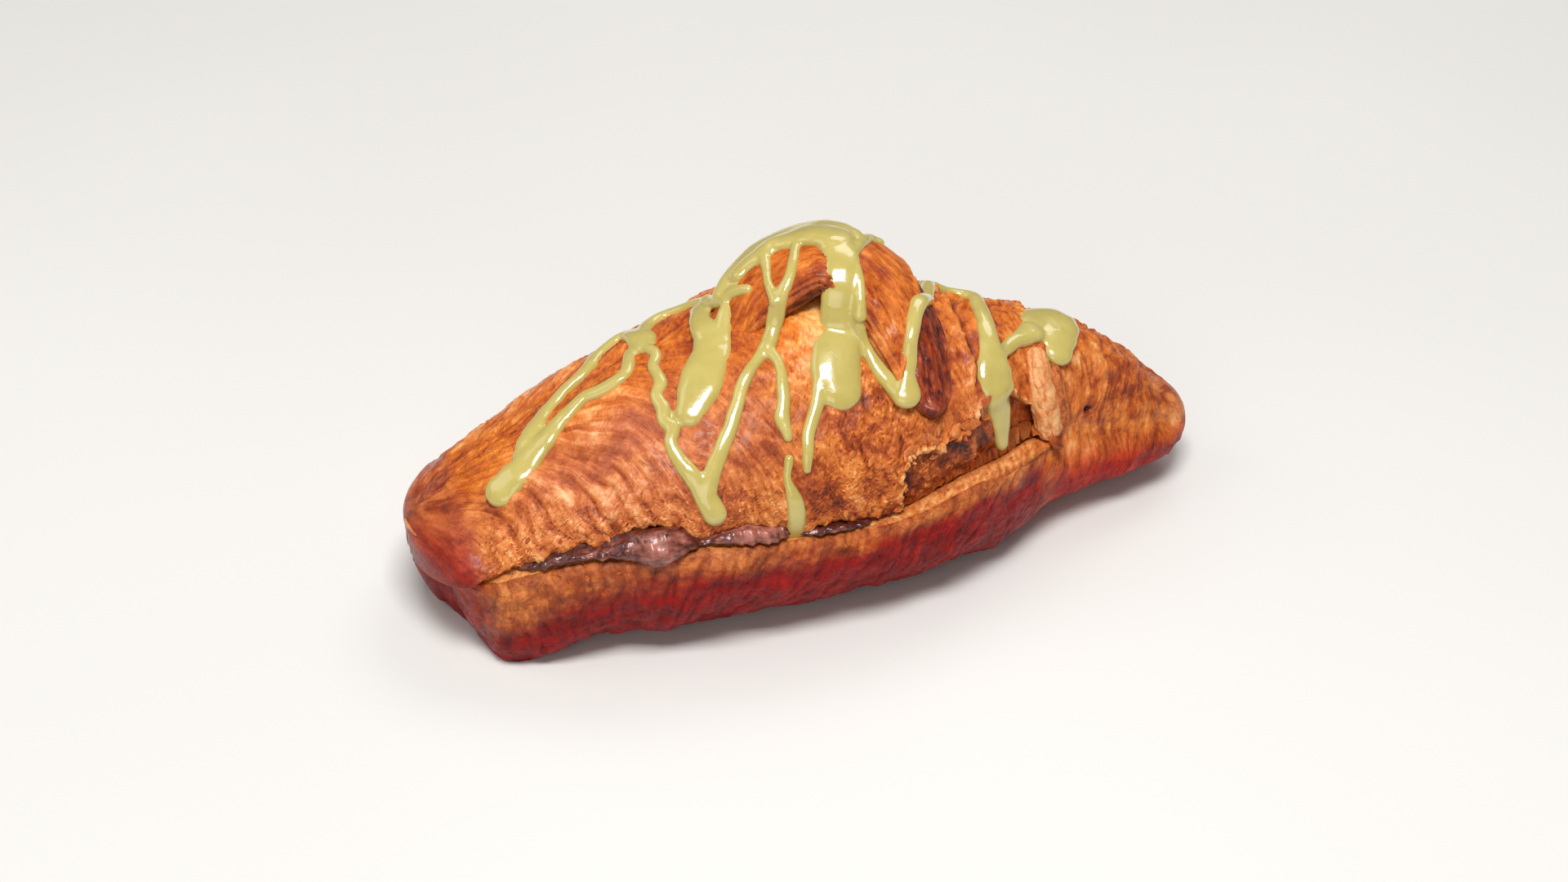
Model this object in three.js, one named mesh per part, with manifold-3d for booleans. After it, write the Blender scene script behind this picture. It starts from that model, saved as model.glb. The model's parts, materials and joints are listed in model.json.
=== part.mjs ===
// A filled croissant: one baked pastry, slit open from the front and spread with chocolate,
// with pale icing poured over it in thick threads. Millimetres, +Z up, X along the length.
// The blunt end is at -X, the pointed end at +X, and the slit opens towards -Y.
import * as THREE from 'three';
import { mergeVertices } from 'three/addons/utils/BufferGeometryUtils.js';
import Module from 'manifold-3d';

const { cos, sin, abs, min, max, sqrt, exp, PI } = Math;
const RAD = PI / 180;

// ---- driving dimensions ---------------------------------------------------------------------
const BLUNT_END = -80;      // X of the blunt end, before the whole is centred
const POINTED_END = 85;     // X of the pointed end
const BLUNT_ROUNDING = 9;   // length over which the blunt end closes
const POINTED_ROUNDING = 10;
const MIDDLE = [2.5, 0.5];   // X and Y of the middle of the base, which becomes the origin
const BASE_CUT = 1.2;       // the underside is pressed flat up to this height
const ROUND_ABOVE = 2.1;    // superellipse powers of the section above and below its widest line
const ROUND_BELOW = 2.7;

// Sizes of the section at stations along the length: how far it reaches to the front and back
// of its axis, the heights of its crest, widest line and underside, and where its axis lies in Y.
const STATIONS = [-80, -70, -52, -30, -8, 14, 34, 50, 66, 85];
const FRONT = [16, 23, 29, 34, 35, 32.5, 26.5, 18, 15, 9];
const BACK = [14, 18, 25, 31, 34, 33, 29, 24, 18, 6];
const CREST = [26, 29, 38, 47, 52, 51.5, 48.5, 44, 36.5, 21];
const WAIST = [20, 18, 18, 20, 21, 21, 19, 17, 15, 12];
const UNDERSIDE = [1, 0, 0, 0, 0, 0, 0.5, 3.5, 5.5, 6];
const AXIS_Y = [0, 0, 0, 1, 1, 0, 0, 1, 2, 1];

// The slit: height of the lower cut face, opening at the mouth, how far the upper lip stands
// back behind the lower one, and the line inside where the two halves stay joined.
const SLIT_STATIONS = [-84, -73, -61, -50, -34, -6, 10, 29, 47, 64];
const CUT_HEIGHT = [13, 18, 22.3, 25.2, 26.5, 25, 24, 25.7, 24.8, 26];
const MOUTH = [3.2, 2.4, 2.4, 3.6, 5.2, 3.6, 2.4, 1.8, 1.8, 1.2];
const SETBACK = [0, 0.6, 2.2, 2.6, 3, 2.6, 3.6, 5, 5.5, 1];
const HINGE_Y = [4, 6, 8, 12, 16, 18, 17, 9, -3, -15];
const POCKET = 2.6;         // opening inside, where the filling lies
const POCKET_DEPTH = 9;     // the mouth changes to the pocket over this depth

// The filling: its ends in X, and how far its front edge stays behind the lower lip.
const FILLING_ENDS = [-66, 46];
const FILLING_STATIONS = [-66, -55, -40, -28, -12, 0, 12, 24, 46];
const FILLING_INSET = [6, 3.4, 1.2, 1.0, 2.6, 1.6, 3, 9, 13];
const CLEARANCE = 0.3;
const SLIT_END = 62;        // X where the slit ends towards the pointed end
const SETBACK_FADE = 22 * RAD; // how far above the slit the upper half comes forward again
const HINGE_EASE = 5;       // the slit narrows over this depth before the hinge
const HINGE_SHARE = 0.35;   // share of the opening that is left at the hinge
const SLIT_FALL = 0.04;     // the cut faces fall this much for each millimetre inwards
const REAR_GAP = 3;         // from the rear edge of the filling to the hinge
const FILLING_TAPER = { blunt: 5, pointed: 8, drawnIn: 0.42 }; // how the filling closes at its ends
const FILLING_ROWS = 8;
const FILLING_RINGS = 32;
const THINNEST = 0.7;       // of the slit or the filling
const EDGE_ROUNDING = [0.4, 0.13]; // share of the filling's thickness lost at its edge, and one row in
const FRONT_OF_ALL = -60;   // a Y in front of the whole pastry

// The last turn of the dough, a wide strip that stands up like a hood over the middle: points of
// its spine, and half its width and thickness at each.
const HOOD_SPINE = [[-15, 1, 48], [-6, 6, 56], [6, 7, 61], [15, 1, 58.5], [20, -10, 51.5], [20.5, -24, 42]];
const HOOD_HALF_WIDTH = [4, 9, 11, 10, 7.5, 2.5];
const HOOD_HALF_THICKNESS = [2, 4, 4.5, 4.5, 4, 2];
const HOOD_CENTRE = new THREE.Vector3(8, 2, 22);
const HOOD_FILL = { drop: 7, back: 3.5, width: 0.72, thickness: 8 }; // the dough under the hood's rear
const SHOULDER = { height: 7, x: 5, length: 15, angle: 112, spread: 34 };

// The lower half near the blunt end: it starts a little further in than the upper half, and
// its foot bulges out to the front.
const LOWER_START = 5;
const LOWERED_FADE = 40;    // degrees up from the sole over which that comes in
const FOOT = { bulge: 4.5, x: -64, length: 13, angle: -40, spread: 25 };

// Where one turn of the dough ends on the next: X at the crest, how far the edge runs towards
// the pointed end by the time it reaches the front, and how far the crust steps down there.
const TURNS = [
  { x: -69, lean: -5, drop: 1.1, outward: -1 },
  { x: -56, lean: 14, drop: 0.7, outward: -1 },
  { x: 34, lean: -3, drop: 1.2, outward: 1 },
  { x: 42, lean: -2, drop: 0.9, outward: 1 },
  { x: 53, lean: -4, drop: 1.1, outward: 1 },
  { x: 67, lean: -3, drop: 0.8, outward: 1 },
];
const TURN_SOFTNESS = 1.6;
const TURNS_SPAN = { front: -8, back: 235, fade: 35 }; // angles between which the edges stand out
const FOLDS = { pitch: 9, height: 0.45, swirl: 0.62, from: 18, over: 30 }; // long folds in the blunt half

// Mesh fineness.
const RINGS = 57;
const SIDES = 35;
const FRONT_CROWDING = 0.7; // how far the sides crowd together round the slit
const SLIT_PULL = 70 * RAD; // how far round the section the sides follow the slit's own slope
const EVENNESS = 0.86;      // 1 spaces the rings evenly, 0 crowds them at the ends
const END_GAP = 0.35;       // from the first and last ring to the end points
const HOOD_STEPS = 22;
const HOOD_SIDES = 12;

// Icing threads: each point is [X, angle], the angle seen along the length from the front (0)
// over the crest (90) to the back (180), with the width of the thread there.
const ICING = [
  [[-31.4, 106, 2.8], [-35, 90, 3], [-43, 91, 3], [-50.7, 82, 4.2], [-56, 70, 5.8], [-62, 56, 7]],
  [[-29, 121, 3.2], [-36.5, 119, 3.2], [-44.5, 107, 3], [-52, 96, 3.4], [-57, 77, 3.6]],
  [[-12.8, 103, 3.2], [-16, 117, 3.2], [-22, 124, 3.4], [-27.6, 115, 4.4], [-28.5, 102, 4.4]],
  [[-28.8, 92, 3], [-30, 67, 3], [-30, 46, 3.2], [-27, 32, 4.4], [-25, 22, 5.4]],
  [[-16.3, 109, 4.4], [-17.5, 93, 7.4], [-20.5, 75, 8.8], [-25.4, 60, 7.4]],
  [[-12.6, 98, 3], [-16, 86, 4]],
  [[-4, 100, 2.8], [-5.2, 84, 3]],
  [[2.8, 101, 3], [-1.3, 89, 3], [-5, 83, 3.6], [-8, 76, 3.6]],
  [[-8.4, 76, 3.4], [-14, 66, 3], [-19, 50, 3], [-24.5, 36, 3.6], [-26, 28, 4]],
  [[-7.6, 75, 3], [-7.4, 62, 2.8], [-9, 42, 2.8]],
  [[-9.6, 34, 2.8], [-9.8, 21, 3.6], [-9.4, 9, 4.6]],
  [[9, 102, 8], [8.6, 88, 7.4], [6, 76, 8.6], [3.6, 57, 9.8]],
  [[0.2, 60, 3.2], [-2.8, 49, 3], [-7, 30, 2.8]],
  [[-12, 103, 4], [-6, 107, 6.4], [1, 110, 9], [8, 109, 10], [13.5, 102, 6]],
  [[12, 94, 3], [20, 103, 3]],
  [[9.8, 77, 3.2], [12, 62, 3.4], [15.3, 48, 6]],
  [[30.4, 107, 3.2], [25.5, 86, 3.8], [16.4, 54, 4]],
  [[30, 110, 3.2], [38.5, 105, 3.4], [38.6, 87, 3.8], [36.4, 57, 7.6], [36.9, 28, 3.6]],
  [[38.5, 66, 3.2], [48, 81, 4.6]],
  [[50, 88, 7], [54, 90, 8.6], [53, 73, 7]],
];
const ICING_STEP = 5;
const ICING_SIDES = 7;
const ICING_HEIGHT = { share: 0.26, least: 0.5 }; // half height: a share of the width, and so much more
const ICING_SUNK = 0.06;    // share of its width by which a thread sinks into the crust
const DEGREE_LENGTH = 0.6;  // millimetres that one degree of angle counts for along a thread
const END_CAP = { reach: 0.7, scale: 0.6, point: 0.14 };

// Rolled flakes that stand up from the crust, in the same terms as the icing.
const FLAKE_STEP = 4.5;
const FLAKE_SIDES = 6;
const ROLLED_FLAKES = [
  [[47.6, 69, 3.8], [47.6, 50, 5], [48.6, 31, 4.4]],
  [[50.6, 64, 2.8], [51.8, 37, 3]],
];

// ---- small helpers --------------------------------------------------------------------------
// Value at x of a smooth curve through the stations that never overshoots them.
function along(x, stations, values) {
  const last = stations.length - 1;
  const clamped = min(max(x, stations[0]), stations[last]);
  let i = 0;
  while (i < last - 1 && clamped > stations[i + 1]) i += 1;
  const slope = (k) => (values[k + 1] - values[k]) / (stations[k + 1] - stations[k]);
  const tangent = (k) => {
    if (k === 0) return slope(0);
    if (k === last) return slope(last - 1);
    const before = slope(k - 1);
    const after = slope(k);
    return before * after > 0 ? (2 * before * after) / (before + after) : 0;
  };
  const h = stations[i + 1] - stations[i];
  const t = (clamped - stations[i]) / h;
  const t2 = t * t;
  const t3 = t2 * t;
  return (2 * t3 - 3 * t2 + 1) * values[i] + (t3 - 2 * t2 + t) * h * tangent(i)
    + (-2 * t3 + 3 * t2) * values[i + 1] + (t3 - t2) * h * tangent(i + 1);
}

const smoothstep = (t) => {
  const u = min(max(t, 0), 1);
  return u * u * (3 - 2 * u);
};

// ---- the pastry's outside -------------------------------------------------------------------
// How much of the full section is left at x, so that both ends close in a rounded tip.
function endRounding(x, lowered = 0) {
  const fromBlunt = (x - BLUNT_END - LOWER_START * lowered) / (BLUNT_ROUNDING + lowered);
  const fromPointed = (POINTED_END - x) / POINTED_ROUNDING;
  const t = min(1, fromBlunt, fromPointed);
  return max(0.05, sqrt(max(0, 1 - (1 - max(t, 0)) ** 2)));
}

const axisY = (x) => along(x, STATIONS, AXIS_Y);
const axisZ = (x) => along(x, STATIONS, WAIST);

// Distance of the plain superellipse section from the axis.
function plainRadius(x, angle) {
  const c = cos(angle);
  const s = sin(angle);
  const reach = along(x, STATIONS, c >= 0 ? FRONT : BACK);
  const waist = axisZ(x);
  const height = s >= 0 ? along(x, STATIONS, CREST) - waist : waist - along(x, STATIONS, UNDERSIDE);
  const power = s >= 0 ? ROUND_ABOVE : ROUND_BELOW;
  return (abs(c / reach) ** power + abs(s / height) ** power) ** (-1 / power);
}

// Angle at which the lower cut face meets the front of the crust, found in a few steps.
function slitAngle(x) {
  const rise = along(x, SLIT_STATIONS, CUT_HEIGHT) - axisZ(x);
  let angle = 0;
  for (let i = 0; i < 4; i += 1) {
    const share = rise / (plainRadius(x, angle) * endRounding(x));
    angle = Math.asin(min(max(share, -0.8), 0.8));
  }
  return angle;
}

// Terraces and folds of the crust, in millimetres outwards.
function relief(x, angle) {
  const over = cos(angle) * 0.5 + 0.5;
  const degrees = angle / RAD;
  const front = smoothstep((degrees - TURNS_SPAN.front) / TURNS_SPAN.fade);
  const above = front * smoothstep((TURNS_SPAN.back - degrees) / TURNS_SPAN.fade);
  let lift = 0;
  for (const turn of TURNS) {
    const edge = turn.x + turn.lean * over;
    lift -= turn.drop * above * smoothstep((turn.outward * (x - edge)) / TURN_SOFTNESS * 0.5 + 0.5);
  }
  const blunt = smoothstep((FOLDS.from - x) / FOLDS.over);
  const phase = (2 * PI * (x + FOLDS.swirl * degrees)) / FOLDS.pitch;
  lift += FOLDS.height * blunt * sin(phase) * sin(min(max(angle, 0), PI));
  return lift;
}

// Distance of the crust from the axis.
function radius(x, angle) {
  const plain = plainRadius(x, angle);
  const fromMiddle = (x - SHOULDER.x) / SHOULDER.length;
  const fromTop = (angle / RAD - SHOULDER.angle) / SHOULDER.spread;
  const shoulder = SHOULDER.height * exp(-fromMiddle * fromMiddle - fromTop * fromTop);
  const aboveSlit = angle - slitAngle(x);
  const upper = aboveSlit > 0;
  const setback = upper ? along(x, SLIT_STATIONS, SETBACK) * exp(-aboveSlit / SETBACK_FADE) : 0;
  const lowered = upper ? 0 : smoothstep((angle / RAD + 90) / LOWERED_FADE);
  const fromFoot = (x - FOOT.x) / FOOT.length;
  const fromSole = (angle / RAD - FOOT.angle) / FOOT.spread;
  const foot = FOOT.bulge * exp(-fromFoot * fromFoot - fromSole * fromSole);
  return (plain + shoulder + foot + relief(x, angle) - setback) * endRounding(x, lowered);
}

// How fast the section grows with x, over a stretch long enough to pass over its relief.
function taper(x, angle) {
  const reach = 5;
  return (plainRadius(x + reach, angle) - plainRadius(x - reach, angle)) / (2 * reach);
}

const onCrust = (x, angle, r) => [x, axisY(x) - r * cos(angle), axisZ(x) + r * sin(angle)];

// ---- closed meshes from rings ---------------------------------------------------------------
// Joins rings of equally many points into a closed body, with a point at either end.
function closedLoft(rings, startPoint, endPoint) {
  const sides = rings[0].length;
  const positions = [startPoint, ...rings.flat(), endPoint].flat();
  const index = [];
  const at = (i, j) => 1 + i * sides + ((j + sides) % sides);
  const endIndex = rings.length * sides + 1;
  for (let j = 0; j < sides; j += 1) {
    index.push(0, at(0, j + 1), at(0, j));
    index.push(endIndex, at(rings.length - 1, j), at(rings.length - 1, j + 1));
    for (let i = 0; i < rings.length - 1; i += 1) {
      index.push(at(i, j), at(i, j + 1), at(i + 1, j + 1));
      index.push(at(i, j), at(i + 1, j + 1), at(i + 1, j));
    }
  }
  const geometry = new THREE.BufferGeometry();
  geometry.setAttribute('position', new THREE.Float32BufferAttribute(positions, 3));
  geometry.setIndex(index);
  return geometry;
}

const wasm = await Module();
wasm.setup();

// A solid from a closed geometry, turned right side out if its faces point in.
function solid(geometry) {
  const bare = geometry.clone();
  bare.deleteAttribute('normal');
  bare.deleteAttribute('uv');
  const merged = mergeVertices(bare, 1e-4);
  const p = merged.attributes.position.array;
  const t = Uint32Array.from(merged.index.array);
  let volume = 0;
  for (let k = 0; k < t.length; k += 3) {
    const [a, b, c] = [0, 1, 2].map((n) => new THREE.Vector3().fromArray(p, 3 * t[k + n]));
    volume += a.dot(b.cross(c));
  }
  if (volume < 0) {
    for (let k = 0; k < t.length; k += 3) [t[k], t[k + 1]] = [t[k + 1], t[k]];
  }
  const vertProperties = Float32Array.from(p);
  return new wasm.Manifold(new wasm.Mesh({ numProp: 3, vertProperties, triVerts: t }));
}

function geometryOf(manifold) {
  const mesh = manifold.getMesh();
  const geometry = new THREE.BufferGeometry();
  geometry.setAttribute('position', new THREE.BufferAttribute(mesh.vertProperties, 3));
  geometry.setIndex(new THREE.BufferAttribute(mesh.triVerts, 1));
  return geometry;
}

// ---- crust ----------------------------------------------------------------------------------
// X of each ring: even along the middle, closer together where the ends round off.
function ringPlaces() {
  const places = [];
  for (let i = 1; i < RINGS; i += 1) {
    const t = i / RINGS;
    const eased = 0.5 - 0.5 * cos(PI * t);
    const share = EVENNESS * t + (1 - EVENNESS) * eased;
    places.push(BLUNT_END + (POINTED_END - BLUNT_END) * share);
  }
  places.unshift(BLUNT_END + END_GAP);
  places.push(POINTED_END - END_GAP);
  return places;
}

function crustBody() {
  const rings = ringPlaces().map((x) => {
    const start = slitAngle(x);
    const ring = [];
    for (let j = 0; j < SIDES; j += 1) {
      const t = (j + 0.5) / SIDES;
      const turn = 2 * PI * t - FRONT_CROWDING * sin(2 * PI * t);
      const fromSlit = turn > PI ? turn - 2 * PI : turn;
      const angle = turn + start * exp(-((fromSlit / SLIT_PULL) ** 2));
      const seen = angle > 1.5 * PI ? angle - 2 * PI : angle;
      ring.push(onCrust(x, seen, radius(x, seen)));
    }
    return ring;
  });
  const tip = (x) => [x, axisY(x), axisZ(x)];
  return closedLoft(rings, tip(BLUNT_END), tip(POINTED_END));
}

// ---- hood -----------------------------------------------------------------------------------
// A strip with a lens-shaped section along its spine, or the dough that fills in below its rear.
function hoodStrip(fill) {
  const spine = HOOD_SPINE.map((p) => new THREE.Vector3(...p));
  const curve = new THREE.CatmullRomCurve3(spine, false, 'catmullrom');
  const order = HOOD_SPINE.map((_, i) => i);
  const rings = [];
  for (let i = 0; i <= HOOD_STEPS; i += 1) {
    const t = i / HOOD_STEPS;
    const centre = curve.getPoint(t);
    const tangent = curve.getTangent(t);
    const out = centre.clone().sub(HOOD_CENTRE);
    out.addScaledVector(tangent, -out.dot(tangent)).normalize();
    const side = tangent.clone().cross(out);
    const place = t * (order.length - 1);
    const halfWidth = along(place, order, HOOD_HALF_WIDTH) * (fill ? fill.width : 1);
    const halfThickness = fill ? fill.thickness : along(place, order, HOOD_HALF_THICKNESS);
    if (fill) centre.addScaledVector(out, -fill.drop).addScaledVector(side, -fill.back * sin(PI * t));
    const ring = [];
    for (let j = 0; j < HOOD_SIDES; j += 1) {
      const turn = (2 * PI * j) / HOOD_SIDES;
      const p = centre.clone();
      p.addScaledVector(side, halfWidth * cos(turn));
      p.addScaledVector(out, halfThickness * sin(turn));
      ring.push(p.toArray());
    }
    rings.push(ring);
  }
  const middle = (ring) => ring[0].map((v, k) => (v + ring[HOOD_SIDES / 2][k]) / 2);
  return closedLoft(rings, middle(rings[0]), middle(rings[HOOD_STEPS]));
}

// ---- slit and filling -----------------------------------------------------------------------
function frontEdge(x) {
  const reach = along(x, STATIONS, FRONT) * max(endRounding(x), 0.2);
  return axisY(x) - reach * cos(slitAngle(x));
}

const hingeY = (x) => along(x, SLIT_STATIONS, HINGE_Y);

// Lower and upper face of the slit at a point, the upper one by the opening there.
function slitFaces(x, y) {
  const depth = y - frontEdge(x);
  const inside = smoothstep(depth / POCKET_DEPTH);
  const mouth = along(x, SLIT_STATIONS, MOUTH);
  const open = HINGE_SHARE + (1 - HINGE_SHARE) * smoothstep((hingeY(x) - y) / HINGE_EASE);
  const opening = (mouth + (POCKET - mouth) * inside) * open;
  const low = along(x, SLIT_STATIONS, CUT_HEIGHT) - SLIT_FALL * max(0, depth);
  return [low, low + opening];
}

// A flat body between the slit's faces with a row of points at each given Y, drawn in by inset
// from both faces and rounded along its front and back edges.
function layer(places, rows, inset) {
  const rings = places.map((x) => {
    const lower = [];
    const upper = [];
    const across = rows(x);
    across.forEach((y, j) => {
      const [low, high] = slitFaces(x, y);
      const rounded = inset > 0 ? EDGE_ROUNDING[min(j, across.length - 1 - j)] ?? 0 : 0;
      const thickness = max(high - low - 2 * inset, THINNEST);
      lower.push([x, y, low + inset + rounded * thickness]);
      upper.unshift([x, y, low + inset + (1 - rounded) * thickness]);
    });
    return [...lower, ...upper];
  });
  const middle = (ring) => ring.reduce((sum, p) => sum.map((v, k) => v + p[k] / ring.length), [0, 0, 0]);
  return closedLoft(rings, middle(rings[0]), middle(rings[rings.length - 1]));
}

function evenPlaces(from, to, count) {
  return Array.from({ length: count + 1 }, (_, i) => from + ((to - from) * i) / count);
}

// Rows of points across the filling at x, from its front edge to its rear, moved out by room.
function fillingRows(x, room) {
  const [start, end] = FILLING_ENDS;
  const { blunt, pointed, drawnIn } = FILLING_TAPER;
  const past = min(1, max(1 - (x - start) / blunt, 1 - (end - x) / pointed, 0));
  const front = frontEdge(x) + along(x, FILLING_STATIONS, FILLING_INSET);
  const rear = hingeY(x) - REAR_GAP;
  const ease = drawnIn * (1 - sqrt(1 - past * past)) * (rear - front);
  return evenPlaces(front + ease - room, rear - ease + room, FILLING_ROWS);
}

function fillingBody() {
  return layer(evenPlaces(...FILLING_ENDS, FILLING_RINGS), (x) => fillingRows(x, 0), CLEARANCE);
}

// The slit: the room for the filling, open to the front, and running on to both sides of it.
function slitBody() {
  const [start, end] = FILLING_ENDS;
  const inner = evenPlaces(start, end, FILLING_RINGS);
  inner[0] -= CLEARANCE;
  inner[inner.length - 1] += CLEARANCE;
  const toBlunt = evenPlaces(BLUNT_END - 8, start, 7).slice(0, -1);
  const toPointed = evenPlaces(end, SLIT_END, 5).slice(1);
  const rows = (x) => [FRONT_OF_ALL, ...fillingRows(x, CLEARANCE), hingeY(x)];
  return layer([...toBlunt, ...inner, ...toPointed], rows, 0);
}

// ---- icing and rolled flakes ----------------------------------------------------------------
// The outermost point of the target at x, seen from outside at an angle, as its distance from the axis.
function reachAt(target, x, angle) {
  const far = 120;
  const from = new THREE.Vector3(...onCrust(x, angle, far));
  const to = new THREE.Vector3(...onCrust(x, angle, 0));
  const ray = new THREE.Raycaster(from, to.sub(from).normalize());
  const hit = ray.intersectObject(target)[0];
  return hit ? far - hit.distance : radius(x, angle);
}

// A thread laid along a route on the target: an oval tube, part sunk in what it lies on.
function thread(target, route, step, sides, extra = 0) {
  const curve = new THREE.CatmullRomCurve3(
    route.map(([x, angle]) => new THREE.Vector3(x, angle * DEGREE_LENGTH, 0)), false, 'centripetal');
  const count = max(4, Math.round(curve.getLength() / step));
  const order = route.map((_, i) => i);
  const widths = route.map((p) => p[2]);
  const places = [];
  for (let i = 0; i <= count; i += 1) {
    const t = i / count;
    const p = curve.getPoint(t);
    const angle = (p.y / DEGREE_LENGTH) * RAD;
    const width = along(t * (order.length - 1), order, widths);
    places.push({ x: p.x, angle, r: reachAt(target, p.x, angle), width });
  }
  const level = places.map((p, i) => {
    const before = places[max(i - 1, 0)].r;
    const after = places[min(i + 1, count)].r;
    return max(p.r, 0.25 * before + 0.5 * p.r + 0.25 * after);
  });
  const points = places.map((p, i) => new THREE.Vector3(...onCrust(p.x, p.angle, level[i])));
  const rings = [];
  // Adds the ring of place i, moved forward by that share of its width; returns an end point for it.
  const addRing = (i, forward, scale) => {
    const p = places[i];
    const tangent = points[min(i + 1, count)].clone().sub(points[max(i - 1, 0)]).normalize();
    const out = new THREE.Vector3(-taper(p.x, p.angle), -cos(p.angle), sin(p.angle));
    out.addScaledVector(tangent, -out.dot(tangent)).normalize();
    const side = tangent.clone().cross(out);
    const halfWidth = (p.width / 2 + extra) * scale;
    const halfHeight = (p.width * ICING_HEIGHT.share + ICING_HEIGHT.least + extra) * scale;
    const centre = points[i].clone().addScaledVector(tangent, forward * p.width * 0.5);
    centre.addScaledVector(out, -ICING_SUNK * p.width);
    const ring = [];
    for (let j = 0; j < sides; j += 1) {
      const turn = (2 * PI * (j + 0.5)) / sides;
      const q = centre.clone();
      q.addScaledVector(side, halfWidth * cos(turn));
      q.addScaledVector(out, halfHeight * sin(turn));
      ring.push(q.toArray());
    }
    rings.push(ring);
    return centre.addScaledVector(tangent, forward * p.width * END_CAP.point).toArray();
  };
  const startPoint = addRing(0, -END_CAP.reach, END_CAP.scale);
  for (let i = 0; i <= count; i += 1) addRing(i, 0, 1);
  const endPoint = addRing(count, END_CAP.reach, END_CAP.scale);
  return closedLoft(rings, startPoint, endPoint);
}

// ---- assembly -------------------------------------------------------------------------------
// Everything below the flat base.
function underCut() {
  const [length, width, height] = [400, 200, 50];
  const box = new THREE.BoxGeometry(length, width, height);
  box.translate(0, 0, BASE_CUT - height / 2);
  return box;
}

const bare = solid(crustBody()).add(solid(hoodStrip(null))).add(solid(hoodStrip(HOOD_FILL)));
const target = new THREE.Mesh(geometryOf(bare), new THREE.MeshBasicMaterial({ side: THREE.DoubleSide }));
target.updateMatrixWorld();
target.geometry.computeBoundingSphere();

let croissant = bare.subtract(solid(slitBody())).subtract(solid(fillingBody()));
for (const route of ROLLED_FLAKES) {
  croissant = croissant.add(solid(thread(target, route, FLAKE_STEP, FLAKE_SIDES)));
}
let filling = solid(fillingBody());
for (const route of ICING) {
  croissant = croissant.add(solid(thread(target, route, ICING_STEP, ICING_SIDES)));
  filling = filling.subtract(solid(thread(target, route, ICING_STEP, ICING_SIDES, CLEARANCE)));
}
croissant = croissant.subtract(solid(underCut()));

// Keeps the largest body, so that no loose crumb of a cut stays.
function largest(manifold) {
  const bodies = manifold.decompose();
  return bodies.reduce((best, body) => (body.volume() > best.volume() ? body : best));
}

function piece(name, manifold, colour, roughness) {
  const geometry = geometryOf(largest(manifold));
  geometry.translate(-MIDDLE[0], -MIDDLE[1], -BASE_CUT);
  geometry.computeVertexNormals();
  const material = new THREE.MeshStandardMaterial({ color: colour, roughness, metalness: 0 });
  const mesh = new THREE.Mesh(geometry, material);
  mesh.name = name;
  return mesh;
}

const croissantGroup = new THREE.Group();
croissantGroup.add(piece('croissant', croissant, '#b96a33', 0.55));
croissantGroup.add(piece('filling', filling, '#6b3a2c', 0.35));

export default croissantGroup;
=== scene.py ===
"""Looks of a filled croissant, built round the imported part. Metres, +Z up, X along the length.

The croissant lies with its blunt end at -X and its pointed end at +X. It is slit open from the
front (-Y), spread with chocolate, and has pale icing poured over it in thick threads. Shapes are
worked out in millimetres in the pastry's own coordinates, and moved to the frame by place().
"""
import json
import math
from types import SimpleNamespace

import bpy
import numpy as np
from bpy.props import FloatProperty, FloatVectorProperty, PointerProperty
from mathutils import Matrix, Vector
from mathutils.bvhtree import BVHTree

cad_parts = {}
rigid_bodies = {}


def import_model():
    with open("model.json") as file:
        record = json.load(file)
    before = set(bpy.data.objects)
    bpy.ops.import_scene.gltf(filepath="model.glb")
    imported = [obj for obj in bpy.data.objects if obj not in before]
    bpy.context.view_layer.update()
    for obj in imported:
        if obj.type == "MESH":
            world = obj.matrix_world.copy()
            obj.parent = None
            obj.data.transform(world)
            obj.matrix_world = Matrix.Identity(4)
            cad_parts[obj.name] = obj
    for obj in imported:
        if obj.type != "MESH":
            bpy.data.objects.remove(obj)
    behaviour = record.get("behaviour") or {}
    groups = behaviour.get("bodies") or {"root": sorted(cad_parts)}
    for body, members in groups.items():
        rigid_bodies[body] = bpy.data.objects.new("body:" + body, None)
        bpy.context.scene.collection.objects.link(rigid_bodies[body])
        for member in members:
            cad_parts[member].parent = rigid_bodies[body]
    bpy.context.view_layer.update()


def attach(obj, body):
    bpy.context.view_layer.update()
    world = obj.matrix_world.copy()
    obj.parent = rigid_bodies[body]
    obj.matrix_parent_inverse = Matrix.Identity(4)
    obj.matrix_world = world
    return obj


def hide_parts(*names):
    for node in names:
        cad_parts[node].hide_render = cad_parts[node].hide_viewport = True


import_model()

bl_info = {
    "name": "Filled croissant",
    "version": (1, 0, 0),
    "blender": (4, 5, 0),
    "location": "3D View > Sidebar > Croissant",
    "description": "Builds a filled croissant with icing round its packed part",
    "category": "Object",
}

MM = 0.001
RAD = math.pi / 180

# ---- driving sizes, in millimetres ----------------------------------------------------------
BLUNT_END, POINTED_END = -80.0, 85.0
BLUNT_ROUNDING, POINTED_ROUNDING = 9.0, 10.0
MIDDLE = (2.5, 0.5)  # X and Y that come to lie over the frame's origin
BASE_CUT = 1.2  # height at which the base is cut flat, which comes to lie on the mount plane
ROUND_ABOVE, ROUND_BELOW = 2.1, 2.7  # powers of the superellipse above and below the axis

STATIONS = (-80, -70, -52, -30, -8, 14, 34, 50, 66, 85)
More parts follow.
